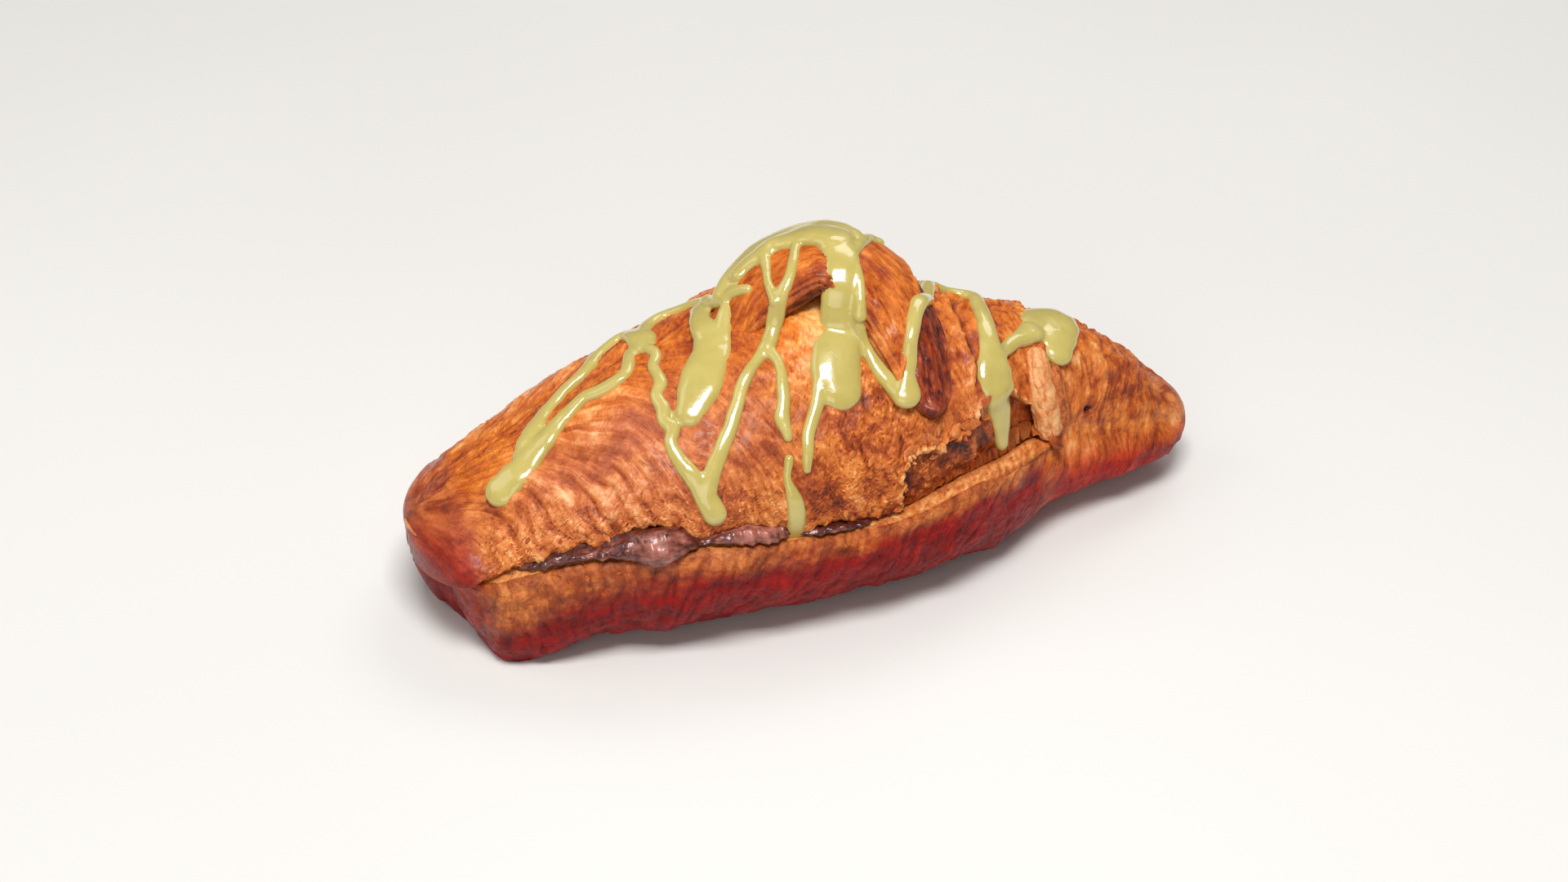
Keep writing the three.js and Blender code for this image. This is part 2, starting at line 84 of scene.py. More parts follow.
# Distances from the axis to the front and the back, and heights, at those stations.
FRONT = (16, 23, 29, 34, 35, 32.5, 26.5, 18, 15, 9)
BACK = (14, 18, 25, 31, 34, 33, 29, 24, 18, 6)
CREST = (26, 29, 38, 47, 52, 51.5, 48.5, 44, 36.5, 21)
WAIST = (20, 18, 18, 20, 21, 21, 19, 17, 15, 12)
UNDERSIDE = (1, 0, 0, 0, 0, 0, 0.5, 3.5, 5.5, 6)
AXIS_Y = (0, 0, 0, 1, 1, 0, 0, 1, 2, 1)

SLIT_STATIONS = (-84, -73, -61, -50, -34, -6, 10, 29, 47, 64)
# Height of the lower cut face, opening at the lips, how far the upper half stands back, Y of
# the hinge.
CUT_HEIGHT = (13, 18, 22.3, 25.2, 26.5, 25, 24, 25.7, 24.8, 26)
MOUTH = (3.2, 2.4, 2.4, 3.6, 5.2, 3.6, 2.4, 1.8, 1.8, 1.2)
SETBACK = (0, 0.6, 2.2, 2.6, 3, 2.6, 3.6, 5, 5.5, 1)
SETBACK_FADE = 22 * RAD  # how soon the upper half comes forward again above the slit
HINGE_Y = (4, 6, 8, 12, 16, 18, 17, 9, -3, -15)
POCKET, POCKET_DEPTH = 2.6, 9.0  # opening well inside the slit, and how far in that is
FLOOR_SLOPE = 0.04  # how much the lower cut face falls toward the hinge

FILLING_ENDS = (-66.0, 46.0)
# How far the chocolate stays back from the lower lip.
SEEN_STATIONS = (-66, -60, -54, -46, -37, -31, -27, -22, -15, -9, -4, 1, 7, 20, 46)
SEEN_INSET = (6, 2.4, 1.2, 0.9, 0.6, 0.8, 2.2, 1.0, 0.8, 2.2, 1.0, 1.4, 3, 8, 13)

HOOD_SPINE = ((-15, 1, 48), (-6, 6, 56), (6, 7, 61), (15, 1, 58.5), (20, -10, 51.5),
              (20.5, -24, 42))
HOOD_HALF_WIDTH = (4, 9, 11, 10, 8.2, 4.4)
HOOD_TIP = 0.08  # share of the strip's length over which its tip is rounded
HOOD_HALF_THICKNESS = (2, 4, 4.5, 4.5, 4, 2)
HOOD_CENTRE = (8, 2, 22)
HOOD_FILL = {"drop": 7, "back": 3.5, "width": 0.72, "thickness": 8}
SHOULDER = {"height": 7, "x": 5, "length": 15, "angle": 112, "spread": 34}

LOWER_START = 5.0  # how much later the lower half begins at the blunt end
FOOT = {"bulge": 4.5, "x": -64, "length": 13, "angle": -40, "spread": 25}

# Edges of the dough's turns: X at the crest, lean by the front, step down, side it steps to.
TURNS = ((-69, -5, 0.35, -1), (-56, 14, 0.25, -1), (34, -3, 1.1, 1), (42, -2, 0.7, 1),
         (53, -4, 0.8, 1), (67, -3, 0.4, 1))

# Icing threads: points of X, angle round the section (0 front, 90 crest, 180 back) and width.
ICING = (
    # the loop at the blunt end and the drip below it
    ((-31.5, 106, 2.2), (-35, 90, 2.5), (-40, 90, 2.8), (-43, 91, 2.4), (-48, 86, 3),
     (-51, 81, 3.8), (-54, 75, 4.6), (-58, 65, 5.6), (-62, 56, 6)),
    ((-29, 122, 2.4), (-33, 122, 2.4), (-36.5, 119, 2.8), (-41, 110, 2.6), (-44.5, 108, 2.2),
     (-47.5, 105, 2.6), (-52, 95, 3.2), (-55, 86, 3.4), (-57, 76, 3)),
    ((-30, 118, 3), (-28.5, 111, 5.5), (-28.5, 105, 4.2)),
    ((-27.5, 115, 3), (-25.5, 122, 3), (-22, 125, 3), (-18, 121, 2.4), (-14, 112, 3),
     (-13, 103, 3)),
    # the wavy thread down to the slit
    ((-28.5, 102, 1.8), (-27.5, 96, 2), (-29, 88, 2), (-29, 77, 2.4), (-30.5, 72, 2),
     (-30, 66, 2.6), (-30.5, 60, 2.2), (-29.5, 55, 2.5), (-30.5, 50, 2.2), (-29.5, 42, 2.8),
     (-27.5, 34, 3.4), (-25, 22, 4.4)),
    # the broad drip with two roots
    ((-16.5, 110, 3.5), (-17.5, 101, 4.2), (-17.5, 94, 5.4)),
    ((-12.5, 98, 2), (-14.5, 91, 3.4), (-16, 86, 3.8)),
    ((-16.5, 92, 6.8), (-18, 83, 7.2), (-20, 77, 7.8), (-21.5, 72, 8), (-23, 67, 7.4),
     (-25.5, 60, 5.6)),
    # the threads that hang from the strip, meet, part again and run down over the front
    ((-3.5, 104, 2.4), (-4, 99, 1.8), (-5, 92, 1.4), (-5, 85, 2)),
    ((3, 102, 1.6), (0.5, 94, 1.8), (-1.5, 89, 2), (-4.5, 85, 3), (-6.5, 80, 2.8),
     (-8, 76, 2.8)),
    ((-8.5, 76, 2.4), (-10, 73, 2), (-14, 66, 2.2), (-16.5, 58, 2.3), (-19, 50, 2.5),
     (-22.5, 41, 2.8), (-25, 33, 3), (-26, 28, 3.2)),
    ((-8, 75, 2), (-7, 68, 1.8), (-8, 56, 2.2), (-9, 49, 2.5), (-9, 42, 1.5)),
    ((-9.5, 35, 1.5), (-10.5, 29, 1.2), (-10, 24, 2.2), (-9.5, 20, 3), (-9.5, 8, 3.5)),
    # the widest drip, over the strip and down the front, and its tail
    ((9, 103, 6), (9.5, 95, 6.4), (8.5, 87, 6.5), (7, 80, 7.2), (6, 76, 7.6), (4.5, 70, 8.6),
     (3.5, 62, 9.2), (3.5, 56, 7.8)),
    ((0, 60, 2.6), (-1, 55, 2.4), (-3, 48, 2.3), (-5, 41, 2.2), (-6, 35, 1.8),
     (-6.5, 30.5, 1.3)),
    ((12, 93, 2.2), (14.5, 97, 2.2), (18, 103, 2.2), (20, 103, 1.6)),
    ((11, 92, 1.8), (11.5, 86, 1.6), (10.5, 79, 1.8), (10, 76, 2.4)),
    # the V on the pointed side of the strip
    ((10, 76, 2.4), (11, 69, 2.5), (12, 62, 3), (14, 55, 4.2), (15.5, 50.5, 5.2)),
    ((30.5, 108, 2.4), (27.5, 95, 3), (25.5, 86, 3.2), (21, 75, 2.8), (18.5, 66, 2.4),
     (17, 58, 2.8), (16, 51.5, 4.4)),
    # the drip by the pointed end and the pool that it is joined to
    ((30, 110, 2.4), (34.5, 111, 2.4), (38, 109, 2.4), (39.5, 104, 2.6), (39, 97, 2.8),
     (38.5, 87, 3.2), (37.5, 76, 3.6), (37, 68, 5), (36.5, 60, 7.4), (36.5, 54, 7.2),
     (36.5, 48, 5.8), (37, 40, 4.4), (37, 26, 2.4)),
    ((38.5, 66, 2.6), (39.5, 69, 2.5), (42.5, 74, 2.6), (45, 77, 3.4), (48, 81, 5)),
    ((49, 88, 4.6), (52, 92, 8), (55.5, 91, 8.6), (54, 85, 9.4), (53.5, 79, 8.4), (53, 72, 6)),
)
# Wider pools of icing over the crest, in the same terms.
SHEETS = (
    ((-12.5, 103, 3.6), (-10.5, 105, 4.6), (-7.5, 107, 5.6), (-4.5, 108, 6.6),
     (-0.5, 109, 7.8), (3.5, 109, 8.6), (6.5, 108, 9), (9, 106, 8.6), (11.5, 104, 7),
     (13.5, 101, 4.5)),
    ((-9, 103, 3), (-7, 104, 3.6), (-4, 104, 4.4), (-1, 105, 5), (2, 104, 5.6), (4.5, 103, 6),
     (7, 101, 6.4)),
    ((-14.5, 111, 2.6), (-12.5, 102, 3), (-10.5, 99, 2.6), (-8.5, 95, 1.6)),
    ((-1, 105, 4), (3, 104, 6), (7, 103, 7.4), (9.5, 99, 7.4)),
)
ROLLED_FLAKES = (
    ((47.6, 69, 3.6), (47.4, 56, 4.6), (48.1, 44, 5), (48.7, 31, 4.4)),
    ((50.6, 64, 2.4), (51.2, 49, 3), (51.8, 36, 2.6)),
)

# Loose flakes: from X to X, the angle at either end, how many and the longest of them.
FLAKE_PLACES = (
    (14, 38, 30, 48, 24, 3.0),
    (-62, -30, 27, 21, 10, 1.6),
    (-12, 18, 17, 14, 5, 1.6),
    (2, 30, 30, 26, 4, 3.0),
    (-64, 40, 12, 10, 14, 1.2),
)
FLAKE_SPREAD = 3.5  # degrees either way
FLAKE_SEED = 7


# ---- small helpers --------------------------------------------------------------------------
def along(x, stations, values):
    """Value at x of a smooth curve through the stations that never overshoots them."""
    at = np.asarray(stations, float)
    v = np.asarray(values, float)
    x = np.clip(np.asarray(x, float), at[0], at[-1])
    i = np.clip(np.searchsorted(at, x, side="left") - 1, 0, len(at) - 2)
    h = np.diff(at)
    slope = np.diff(v) / h
    tangent = np.empty(len(at))
    tangent[0], tangent[-1] = slope[0], slope[-1]
    product, total = slope[:-1] * slope[1:], slope[:-1] + slope[1:]
    tangent[1:-1] = np.where(product > 0, 2 * product / np.where(total == 0, 1, total), 0)
    t = (x - at[i]) / h[i]
    t2, t3 = t * t, t * t * t
    return ((2 * t3 - 3 * t2 + 1) * v[i] + (t3 - 2 * t2 + t) * h[i] * tangent[i]
            + (-2 * t3 + 3 * t2) * v[i + 1] + (t3 - t2) * h[i] * tangent[i + 1])


def smoothstep(t):
    u = np.clip(t, 0, 1)
    return u * u * (3 - 2 * u)


def ramp(x, start, end):
    """0 before start, 1 past end, smooth between; end may lie before start."""
    return smoothstep((x - start) / (end - start))


def bump(x, centre, width):
    return np.exp(-((x - centre) / width) ** 2)


SLOPES = np.array([(1, 1, 0), (-1, 1, 0), (1, -1, 0), (-1, -1, 0),
                   (1, 0, 1), (-1, 0, 1), (1, 0, -1), (-1, 0, -1),
                   (0, 1, 1), (0, -1, 1), (0, 1, -1), (0, -1, -1),
                   (1, 1, 0), (-1, 1, 0), (0, -1, 1), (0, -1, -1)], float)


def noise(u, v, w=0.0, seed=0):
    """Smooth noise between -1 and 1, one value for each point, with features about 1 apart."""
    u, v, w = np.broadcast_arrays(np.asarray(u, float), v, w)
    cell = [np.floor(a).astype(np.int64) for a in (u, v, w)]
    part = [a - c for a, c in zip((u, v, w), cell)]
    fade = [f * f * f * (f * (f * 6 - 15) + 10) for f in part]
    total = np.zeros(u.shape)
    for corner in range(8):
        step = (corner & 1, corner >> 1 & 1, corner >> 2)
        h = sum((c + s) * k for c, s, k in zip(cell, step, (374761393, 668265263, 1440662683)))
        h = (h + seed * 974634777) & 0xFFFFFFFF
        h = ((h ^ (h >> 13)) * 1274126177) & 0xFFFFFFFF
        slope = SLOPES[(h >> 17) & 15]
        value = sum(slope[..., i] * (part[i] - step[i]) for i in range(3))
        weight = 1.0
        for f, s in zip(fade, step):
            weight = weight * (f if s else 1 - f)
        total += value * weight
    return np.clip(total * 1.6, -1, 1)


def fractal(u, v, w=0.0, seed=0, octaves=3, gain=0.5):
    """Noise with finer noise on it, still about -1 to 1."""
    total, height, scale = 0, 1.0, 1.0
    for k in range(octaves):
        total = total + height * noise(u * scale, v * scale, w * scale + 7.3 * k, seed + 11 * k)
        height *= gain
        scale *= 2.07
    return total / (1 + gain)


def ridges(u, v, w=0.0, seed=0, sharp=2.2):
    """Rounded ridges with narrow valleys between them, 0 in a valley to 1 on a ridge."""
    return 1 - np.exp(-sharp * np.abs(noise(u, v, w, seed)) * 2)


PLATE_EDGE = 0.16  # share of a plate that its steep edge takes


def plates(field, steps):
    """Turns a smooth field of -1 to 1 into flat plates with steep edges between them."""
    scaled = field * steps
    low = np.floor(scaled)
    return (low + smoothstep((scaled - low - 1 + PLATE_EDGE) / PLATE_EDGE)) / steps


def place(points):
    """Points of the pastry's own coordinates, in millimetres, as metres in the frame."""
    moved = np.asarray(points, float) - np.array([MIDDLE[0], MIDDLE[1], BASE_CUT])
    return moved * MM


def unit(v):
    return v / np.maximum(np.linalg.norm(v, axis=-1, keepdims=True), 1e-9)


def spline(points, t, centripetal):
    """Catmull-Rom curve through the points at each t of 0 to 1, even in steps between points."""
    p = np.asarray(points, float)
    p = np.vstack([2 * p[0] - p[1], p, 2 * p[-1] - p[-2]])
    n = len(points) - 1
    place_on = np.clip(np.asarray(t, float), 0, 1) * n
    i = np.minimum(place_on.astype(int), n - 1)
    f = (place_on - i)[:, None]
    a, b, c, d = p[i], p[i + 1], p[i + 2], p[i + 3]
    if centripetal:
        gap = [np.maximum(np.linalg.norm(q - r, axis=1, keepdims=True), 1e-6) ** 0.5
               for q, r in ((b, a), (c, b), (d, c))]
        m1 = ((b - a) / gap[0] - (c - a) / (gap[0] + gap[1]) + (c - b) / gap[1]) * gap[1]
        m2 = ((c - b) / gap[1] - (d - b) / (gap[1] + gap[2]) + (d - c) / gap[2]) * gap[1]
    else:
        m1, m2 = (c - a) * 0.5, (d - b) * 0.5
    f2, f3 = f * f, f * f * f
    return ((2 * f3 - 3 * f2 + 1) * b + (f3 - 2 * f2 + f) * m1
            + (-2 * f3 + 3 * f2) * c + (f3 - f2) * m2)


# ---- the plain form of the pastry -----------------------------------------------------------
def end_rounding(x, lowered=0.0):
    """How much of the full section is left at x, so that both ends close in a rounded tip."""
    from_blunt = (x - BLUNT_END - LOWER_START * lowered) / (BLUNT_ROUNDING + lowered)
    from_pointed = (POINTED_END - x) / POINTED_ROUNDING
    t = np.clip(np.minimum(from_blunt, from_pointed), 0, 1)
    return np.maximum(0.05, np.sqrt(np.maximum(0, 1 - (1 - t) ** 2)))


def axis_y(x):
    return along(x, STATIONS, AXIS_Y)


def axis_z(x):
    return along(x, STATIONS, WAIST)


def plain_radius(x, angle):
    """Distance of the plain superellipse section from the axis."""
    c, s = np.cos(angle), np.sin(angle)
    reach = np.where(c >= 0, along(x, STATIONS, FRONT), along(x, STATIONS, BACK))
    waist = axis_z(x)
    rise, fall = along(x, STATIONS, CREST) - waist, waist - along(x, STATIONS, UNDERSIDE)
    height = np.where(s >= 0, rise, fall)
    power = np.where(s >= 0, ROUND_ABOVE, ROUND_BELOW)
    return (np.abs(c / reach) ** power + np.abs(s / height) ** power) ** (-1 / power)


def slit_angle(x):
    """Angle at which the lower cut face meets the front of the crust."""
    rise = along(x, SLIT_STATIONS, CUT_HEIGHT) - axis_z(x)
    angle = np.zeros(np.shape(x))
    for _ in range(4):
        angle = np.arcsin(np.clip(rise / (plain_radius(x, angle) * end_rounding(x)), -0.8, 0.8))
    return angle


def body_radius(x, angle, upper):
    """Distance of the crust from the axis, without its flakes. upper is 1 above the slit."""
    degrees = angle / RAD
    shoulder = SHOULDER["height"] * (bump(x, SHOULDER["x"], SHOULDER["length"])
                                     * bump(degrees, SHOULDER["angle"], SHOULDER["spread"]))
    above = np.maximum(angle - slit_angle(x), 0)
    setback = upper * along(x, SLIT_STATIONS, SETBACK) * np.exp(-above / SETBACK_FADE)
    lowered = (1 - upper) * smoothstep((degrees + 90) / 40)
    foot = FOOT["bulge"] * (bump(x, FOOT["x"], FOOT["length"])
                            * bump(degrees, FOOT["angle"], FOOT["spread"]))
    return (plain_radius(x, angle) + shoulder + foot - setback) * end_rounding(x, lowered)


def on_crust(x, angle, r):
    """Points at x, an angle round the section and a distance from the axis."""
    return np.stack([x + 0 * r, axis_y(x) - r * np.cos(angle), axis_z(x) + r * np.sin(angle)], -1)


def front_edge(x):
    """Y of the front of the crust at the slit."""
    reach = along(x, STATIONS, FRONT) * np.maximum(end_rounding(x), 0.2)
    return axis_y(x) - reach * np.cos(slit_angle(x))


def gape(x):
    """Height of the gap between the two lips of the slit."""
    return along(x, SLIT_STATIONS, MOUTH) * along(x, OPEN_STATIONS, OPEN_SHARE)


def slit_faces(x, y):
    """Heights of the lower and upper face of the slit at a point."""
    depth = y - front_edge(x)
    inside = smoothstep(depth / POCKET_DEPTH)
    mouth = along(x, SLIT_STATIONS, MOUTH)
    closing = smoothstep((along(x, SLIT_STATIONS, HINGE_Y) - y) / 5)
    opening = (mouth + (POCKET - mouth) * inside) * (0.35 + 0.65 * closing)
    low = along(x, SLIT_STATIONS, CUT_HEIGHT) - FLOOR_SLOPE * np.maximum(0, depth)
    return low, low + opening


# ---- meshes ---------------------------------------------------------------------------------
def grid_faces(rows, cols):
    """Quads of a grid of points, joined round its columns."""
    i, j = np.meshgrid(np.arange(rows - 1), np.arange(cols), indexing="ij")
    i, j = i.ravel(), j.ravel()
    k = (j + 1) % cols
    return np.stack([i * cols + j, i * cols + k, (i + 1) * cols + k, (i + 1) * cols + j], 1)


def mesh_object(name, vertices, quads, triangles=(), attributes=None, smooth=True):
    """An object from points in metres. Attributes are one number or vector a vertex."""
    quads = np.asarray(quads, np.int32).reshape(-1, 4)
    triangles = np.asarray(triangles, np.int32).reshape(-1, 3)
    mesh = bpy.data.meshes.new(name)
    mesh.vertices.add(len(vertices))
    mesh.vertices.foreach_set("co", np.asarray(vertices, np.float32).ravel())
    mesh.loops.add(quads.size + triangles.size)
    mesh.loops.foreach_set("vertex_index", np.concatenate([quads.ravel(), triangles.ravel()]))
    mesh.polygons.add(len(quads) + len(triangles))
    starts = [np.arange(len(quads)) * 4, quads.size + np.arange(len(triangles)) * 3]
    mesh.polygons.foreach_set("loop_start", np.concatenate(starts).astype(np.int32))
    mesh.update(calc_edges=True)
    mesh.validate()
    mesh.polygons.foreach_set("use_smooth", np.full(len(mesh.polygons), smooth))
    for key, values in (attributes or {}).items():
        kind, held = ("FLOAT_VECTOR", "vector") if np.ndim(values) == 2 else ("FLOAT", "value")
        layer = mesh.attributes.new(key, kind, "POINT")
        layer.data.foreach_set(held, np.asarray(values, np.float32).ravel())
    thing = bpy.data.objects.new(name, mesh)
    bpy.context.scene.collection.objects.link(thing)
    return thing


def grid_normals(points):
    """Unit normals of a grid of points: rows along, columns round."""
    down = np.gradient(points, axis=0)
    across = np.roll(points, -1, axis=1) - np.roll(points, 1, axis=1)
    return unit(np.cross(down, across))


def capped_grid(points):
    """Vertices, quads and end triangles of a closed loft through rings of points."""
    rows, cols = points.shape[:2]
    flat = points.reshape(-1, 3)
    ends = np.stack([points[0].mean(0), points[-1].mean(0)])
    vertices = np.vstack([flat, ends])
    quads = grid_faces(rows, cols)
    j = np.arange(cols)
    k = (j + 1) % cols
    first, last = rows * cols, rows * cols + 1
    start = np.stack([np.full(cols, first), k, j], 1)
    finish = np.stack([np.full(cols, last), (rows - 1) * cols + j, (rows - 1) * cols + k], 1)
    return vertices, quads, np.vstack([start, finish])


def with_ends(values):
    """One value a ring point, a number or a vector, and one for either end point."""
    flat = values.reshape(values.shape[0] * values.shape[1], -1)
    ends = np.stack([values[0].reshape(values.shape[1], -1).mean(0),
                     values[-1].reshape(values.shape[1], -1).mean(0)])
    return np.squeeze(np.vstack([flat, ends]))


def loft_object(name, points, masks=None):
    """A closed object through rings of points in millimetres, with masks on them."""
    vertices, quads, triangles = capped_grid(points)
    masks = {key: with_ends(v) for key, v in (masks or {}).items()}
    return mesh_object(name, place(vertices), quads, triangles, masks)


# ---- crust: its points ----------------------------------------------------------------------
RINGS = 470
AROUND = 340
INSIDE = 52
EVENNESS = 0.88  # 1 spaces the rings evenly, less crowds them toward the ends
TIP_GAP = 0.12  # from the last ring to the end of the pastry
CROWDING = 0.64  # how much closer the points lie by the lips than over the back
UPPER_SHARE = 0.6  # share of the way round, from the upper lip, that is the upper half
CREST_ANGLE = 100  # degrees round the section where the streaks turn over to the back
UPPER_LIP_ROUNDING, LOWER_LIP_ROUNDING = 0.9, 1.7
FAR_DOWN = 200.0  # stands for a place that is nowhere near the lower lip

# How open the slit looks along its length, as a share of the opening in the part.
OPEN_STATIONS = (-84, -73, -67, -60, -54, -48, -42, -37, -32, -28, -24, -18, -12, -8, -3, 3, 8,
                 20, 34, 52)
OPEN_SHARE = (0.05, 0.1, 0.25, 0.5, 0.5, 0.4, 0.6, 0.7, 0.6, 0.25, 0.45, 0.6, 0.5, 0.22, 0.4,
              0.35, 0.2, 0.22, 0.3, 0.2)
SLIT_SEEN_TO = 46.0

# Slant of the streaks above the slit, toward either end, and below it.
LEAN, LEAN_LOST = 0.42, 0.32
LOW_SLANT_STATIONS = (-80, -44, -32, -18, 0, 25, 38, 62, 85)
LOW_SLANT = (-0.2, -0.1, 0.24, 0.6, 0.45, 0.7, 0.6, -0.1, -0.1)
BEHIND = 3.7  # sets the noise of the back apart from that of the front


def ring_places(count):
    """X of every ring."""
    t = np.arange(1, count) / count
    eased = 0.5 - 0.5 * np.cos(np.pi * t)
    x = BLUNT_END + (POINTED_END - BLUNT_END) * (EVENNESS * t + (1 - EVENNESS) * eased)
    return np.concatenate([[BLUNT_END + TIP_GAP], x, [POINTED_END - TIP_GAP]])


def lip_angles(x, closing):
    """Angles of the slit's lower lip and of its ragged upper lip."""
    lower = slit_angle(x)
    ragged = (0.7 * fractal(x / 4.6, 1.5, seed=3) + 0.45 * noise(x / 1.5, 0.5, seed=4)
              + 0.25 * noise(x / 0.8, 2.5, seed=9)) * ramp(x, BLUNT_END, BLUNT_END + 10)
    mouth = gape(x) * (0.04 + 0.96 * closing)
    top = along(x, SLIT_STATIONS, CUT_HEIGHT) + np.maximum(mouth + ragged * closing * 0.8, 0.12)
    upper = lower.copy()
    for _ in range(6):
        r = body_radius(x, upper, closing)
        upper = np.arcsin(np.clip((top - axis_z(x)) / r, -0.85, 0.85))
    return lower, np.maximum(upper, lower + 0.004)


def cut_faces(x, lip_low, lip_high, closing):
    """The lower cut face from its lip in to the hinge, and the upper one back out to its lip.

    Gives their points and, for each face, how far behind its lip they lie.
    """
    front_low, front_high = lip_low[:, 1:2], lip_high[:, 1:2]
    half = INSIDE // 2
    s = (np.linspace(0, 1, half + 1)[1:] ** 1.7)[None, :]
    hinge = np.minimum(along(x, SLIT_STATIONS, HINGE_Y),
                       axis_y(x) + 0.5 * along(x, STATIONS, BACK))
    reach = (hinge - front_low) * np.clip(end_rounding(x), 0.1, 1) * (0.12 + 0.88 * closing)

    y_in = front_low + reach * s
    low, _ = slit_faces(x, y_in)
    low = lip_low[:, 2:3] + (low - along(x, SLIT_STATIONS, CUT_HEIGHT)) + 0.5 * ramp(s, 0, 0.1)
    lower_face = np.stack([x + 0 * y_in, y_in, low], -1)

    back_s = s[:, ::-1]
    y_out = front_high + (front_low + reach - front_high) * back_s
    below, above = slit_faces(x, y_out)
    opening = (above - below) * closing + 0.05
    floor = lip_low[:, 2:3] - FLOOR_SLOPE * np.maximum(0, y_out - front_low)
    ease = ramp(back_s, 0.0, 0.25)
    roof = (1 - ease) * lip_high[:, 2:3] + ease * (floor + opening)
    upper_face = np.stack([x + 0 * y_out, y_out, roof], -1)

    # where the slit is shut, the faces lie in the skin between the lips instead
    share = (np.arange(1, INSIDE + 1) / (INSIDE + 1))[None, :, None]
    skin = lip_low[:, None] + (lip_high - lip_low)[:, None] * share
    faces = np.concatenate([lower_face, upper_face], axis=1)
    faces = faces * closing[..., None] + skin * (1 - closing[..., None])
    return faces, y_in - front_low, y_out - front_high


def crust_fields():
    """Every ring point of the crust with what is known about it there."""
    x = ring_places(RINGS)[:, None]
    closing = ramp(x, SLIT_SEEN_TO + 5, SLIT_SEEN_TO - 3)
    lower_lip, upper_lip = lip_angles(x, closing)
    t = np.linspace(0, 1, AROUND)[None, :]
    turn = 2 * np.pi * t - CROWDING * np.sin(2 * np.pi * t)
    share = turn / (2 * np.pi)
    angle = upper_lip + share * (2 * np.pi - (upper_lip - lower_lip))
    seen = np.where(angle > 1.5 * np.pi, angle - 2 * np.pi, angle)
    upper = np.where(share < UPPER_SHARE, 1.0, 0.0)
    r = body_radius(x, seen, upper * closing)
    outer = on_crust(x, seen, r)
    steps = np.diff(outer, axis=1, prepend=outer[:, :1])
    girth = np.cumsum(np.linalg.norm(steps, axis=2), axis=1)
    whole = girth[:, -1:]

    # the crust turns in over its last millimetres to a rounded lip
    lip_here = closing * ramp(x, -81, -74)
    for distance, size in ((girth, UPPER_LIP_ROUNDING), (whole - girth, LOWER_LIP_ROUNDING)):
        near = np.clip(1 - distance / size, 0, 1)
        turned = size * (1 - np.sqrt(np.maximum(0, 1 - near ** 2)))
        r = r - turned * np.minimum(1, end_rounding(x) * 1.3) * lip_here
    outer = on_crust(x, seen, r)
    faces, depth_low, depth_high = cut_faces(x, outer[:, -1], outer[:, 0], closing)
    crest = np.array([np.interp(CREST_ANGLE * RAD, a, g) for a, g in zip(angle, girth)])[:, None]
    shapes = (outer.shape[:2], depth_low.shape, depth_high.shape)

    def field(outside, on_lower, on_upper):
        """One number for each point of the outside and of both cut faces."""
        values = zip((outside, on_lower, on_upper), shapes)
        return np.concatenate([value + np.zeros(shape) for value, shape in values], axis=1)

    return np.concatenate([outer, faces], axis=1), {
        "x": field(x, x, x),
        "degrees": field(seen / RAD, lower_lip / RAD, upper_lip / RAD),
        "up": field(girth, 0, 0),
        "down": field(whole - girth, 0, FAR_DOWN * closing),
        "inside": field(0, depth_low, depth_high),
        "is_inside": field(0, closing, closing),
        "is_low": field(0, closing, 0),
        "closing": field(closing, closing, closing),
        "crest": field(crest, crest, crest),
        "upper": field(upper, 0, 1),
    }


def flow(f):
    """Coordinates across and along the streaks of the stretched dough, in millimetres."""
    x, up, crest = f["x"], f["up"], f["crest"]
    below = (1 - f["upper"]) * (1 - f["is_inside"]) > 0.5
    climb = np.where(below, -f["down"], np.where(up < crest, up, 2 * crest - up))
    slant = np.where(below, -along(x, LOW_SLANT_STATIONS, LOW_SLANT),
                     LEAN - LEAN_LOST * ramp(x, 0, 45))
    turning = (8 + 20 * ramp(x, -2, -62)) * (1 - 0.8 * ramp(x, 5, 40))
    share = np.clip(climb / crest, 0, 1)
    past = climb - 8
    arc = ramp(x, 42, 70) * (0.35 * past - 0.027 * np.maximum(past, -8) ** 2)
    across = x + slant * climb + turning * share ** 4 - arc
    return across, climb, np.where(below, 0.0, BEHIND * ramp(up, crest - 5, crest + 8))


# ---- crust: its relief, in millimetres ------------------------------------------------------
# The line along which the top crust is torn off beside the slit, as degrees round the section.
TORN_STATIONS = (12, 16, 20, 23.5, 27, 30, 33, 36, 40, 46)
TORN_LINE = (20, 28, 29, 31, 34, 39, 43.5, 48, 50, 44)
TORN_START, TORN_END, TORN_DEPTH = 13.0, 47.0, 1.5
DEGREE_SPAN = 0.55  # about how many millimetres one degree spans there
FLAKE_STEPS = 3.2  # how many plates a flaking field is cut into

# Width of the open crumb along the lower lip.
RIM_STATIONS = (-80, -68, -60, -50, -42, -22, -10, 6, 18, 30, 42, 50)
RIM_WIDTH = (6, 6, 3.6, 1.2, 0.8, 1.8, 0.8, 1.0, 2.6, 3.4, 3.4, 1.5)


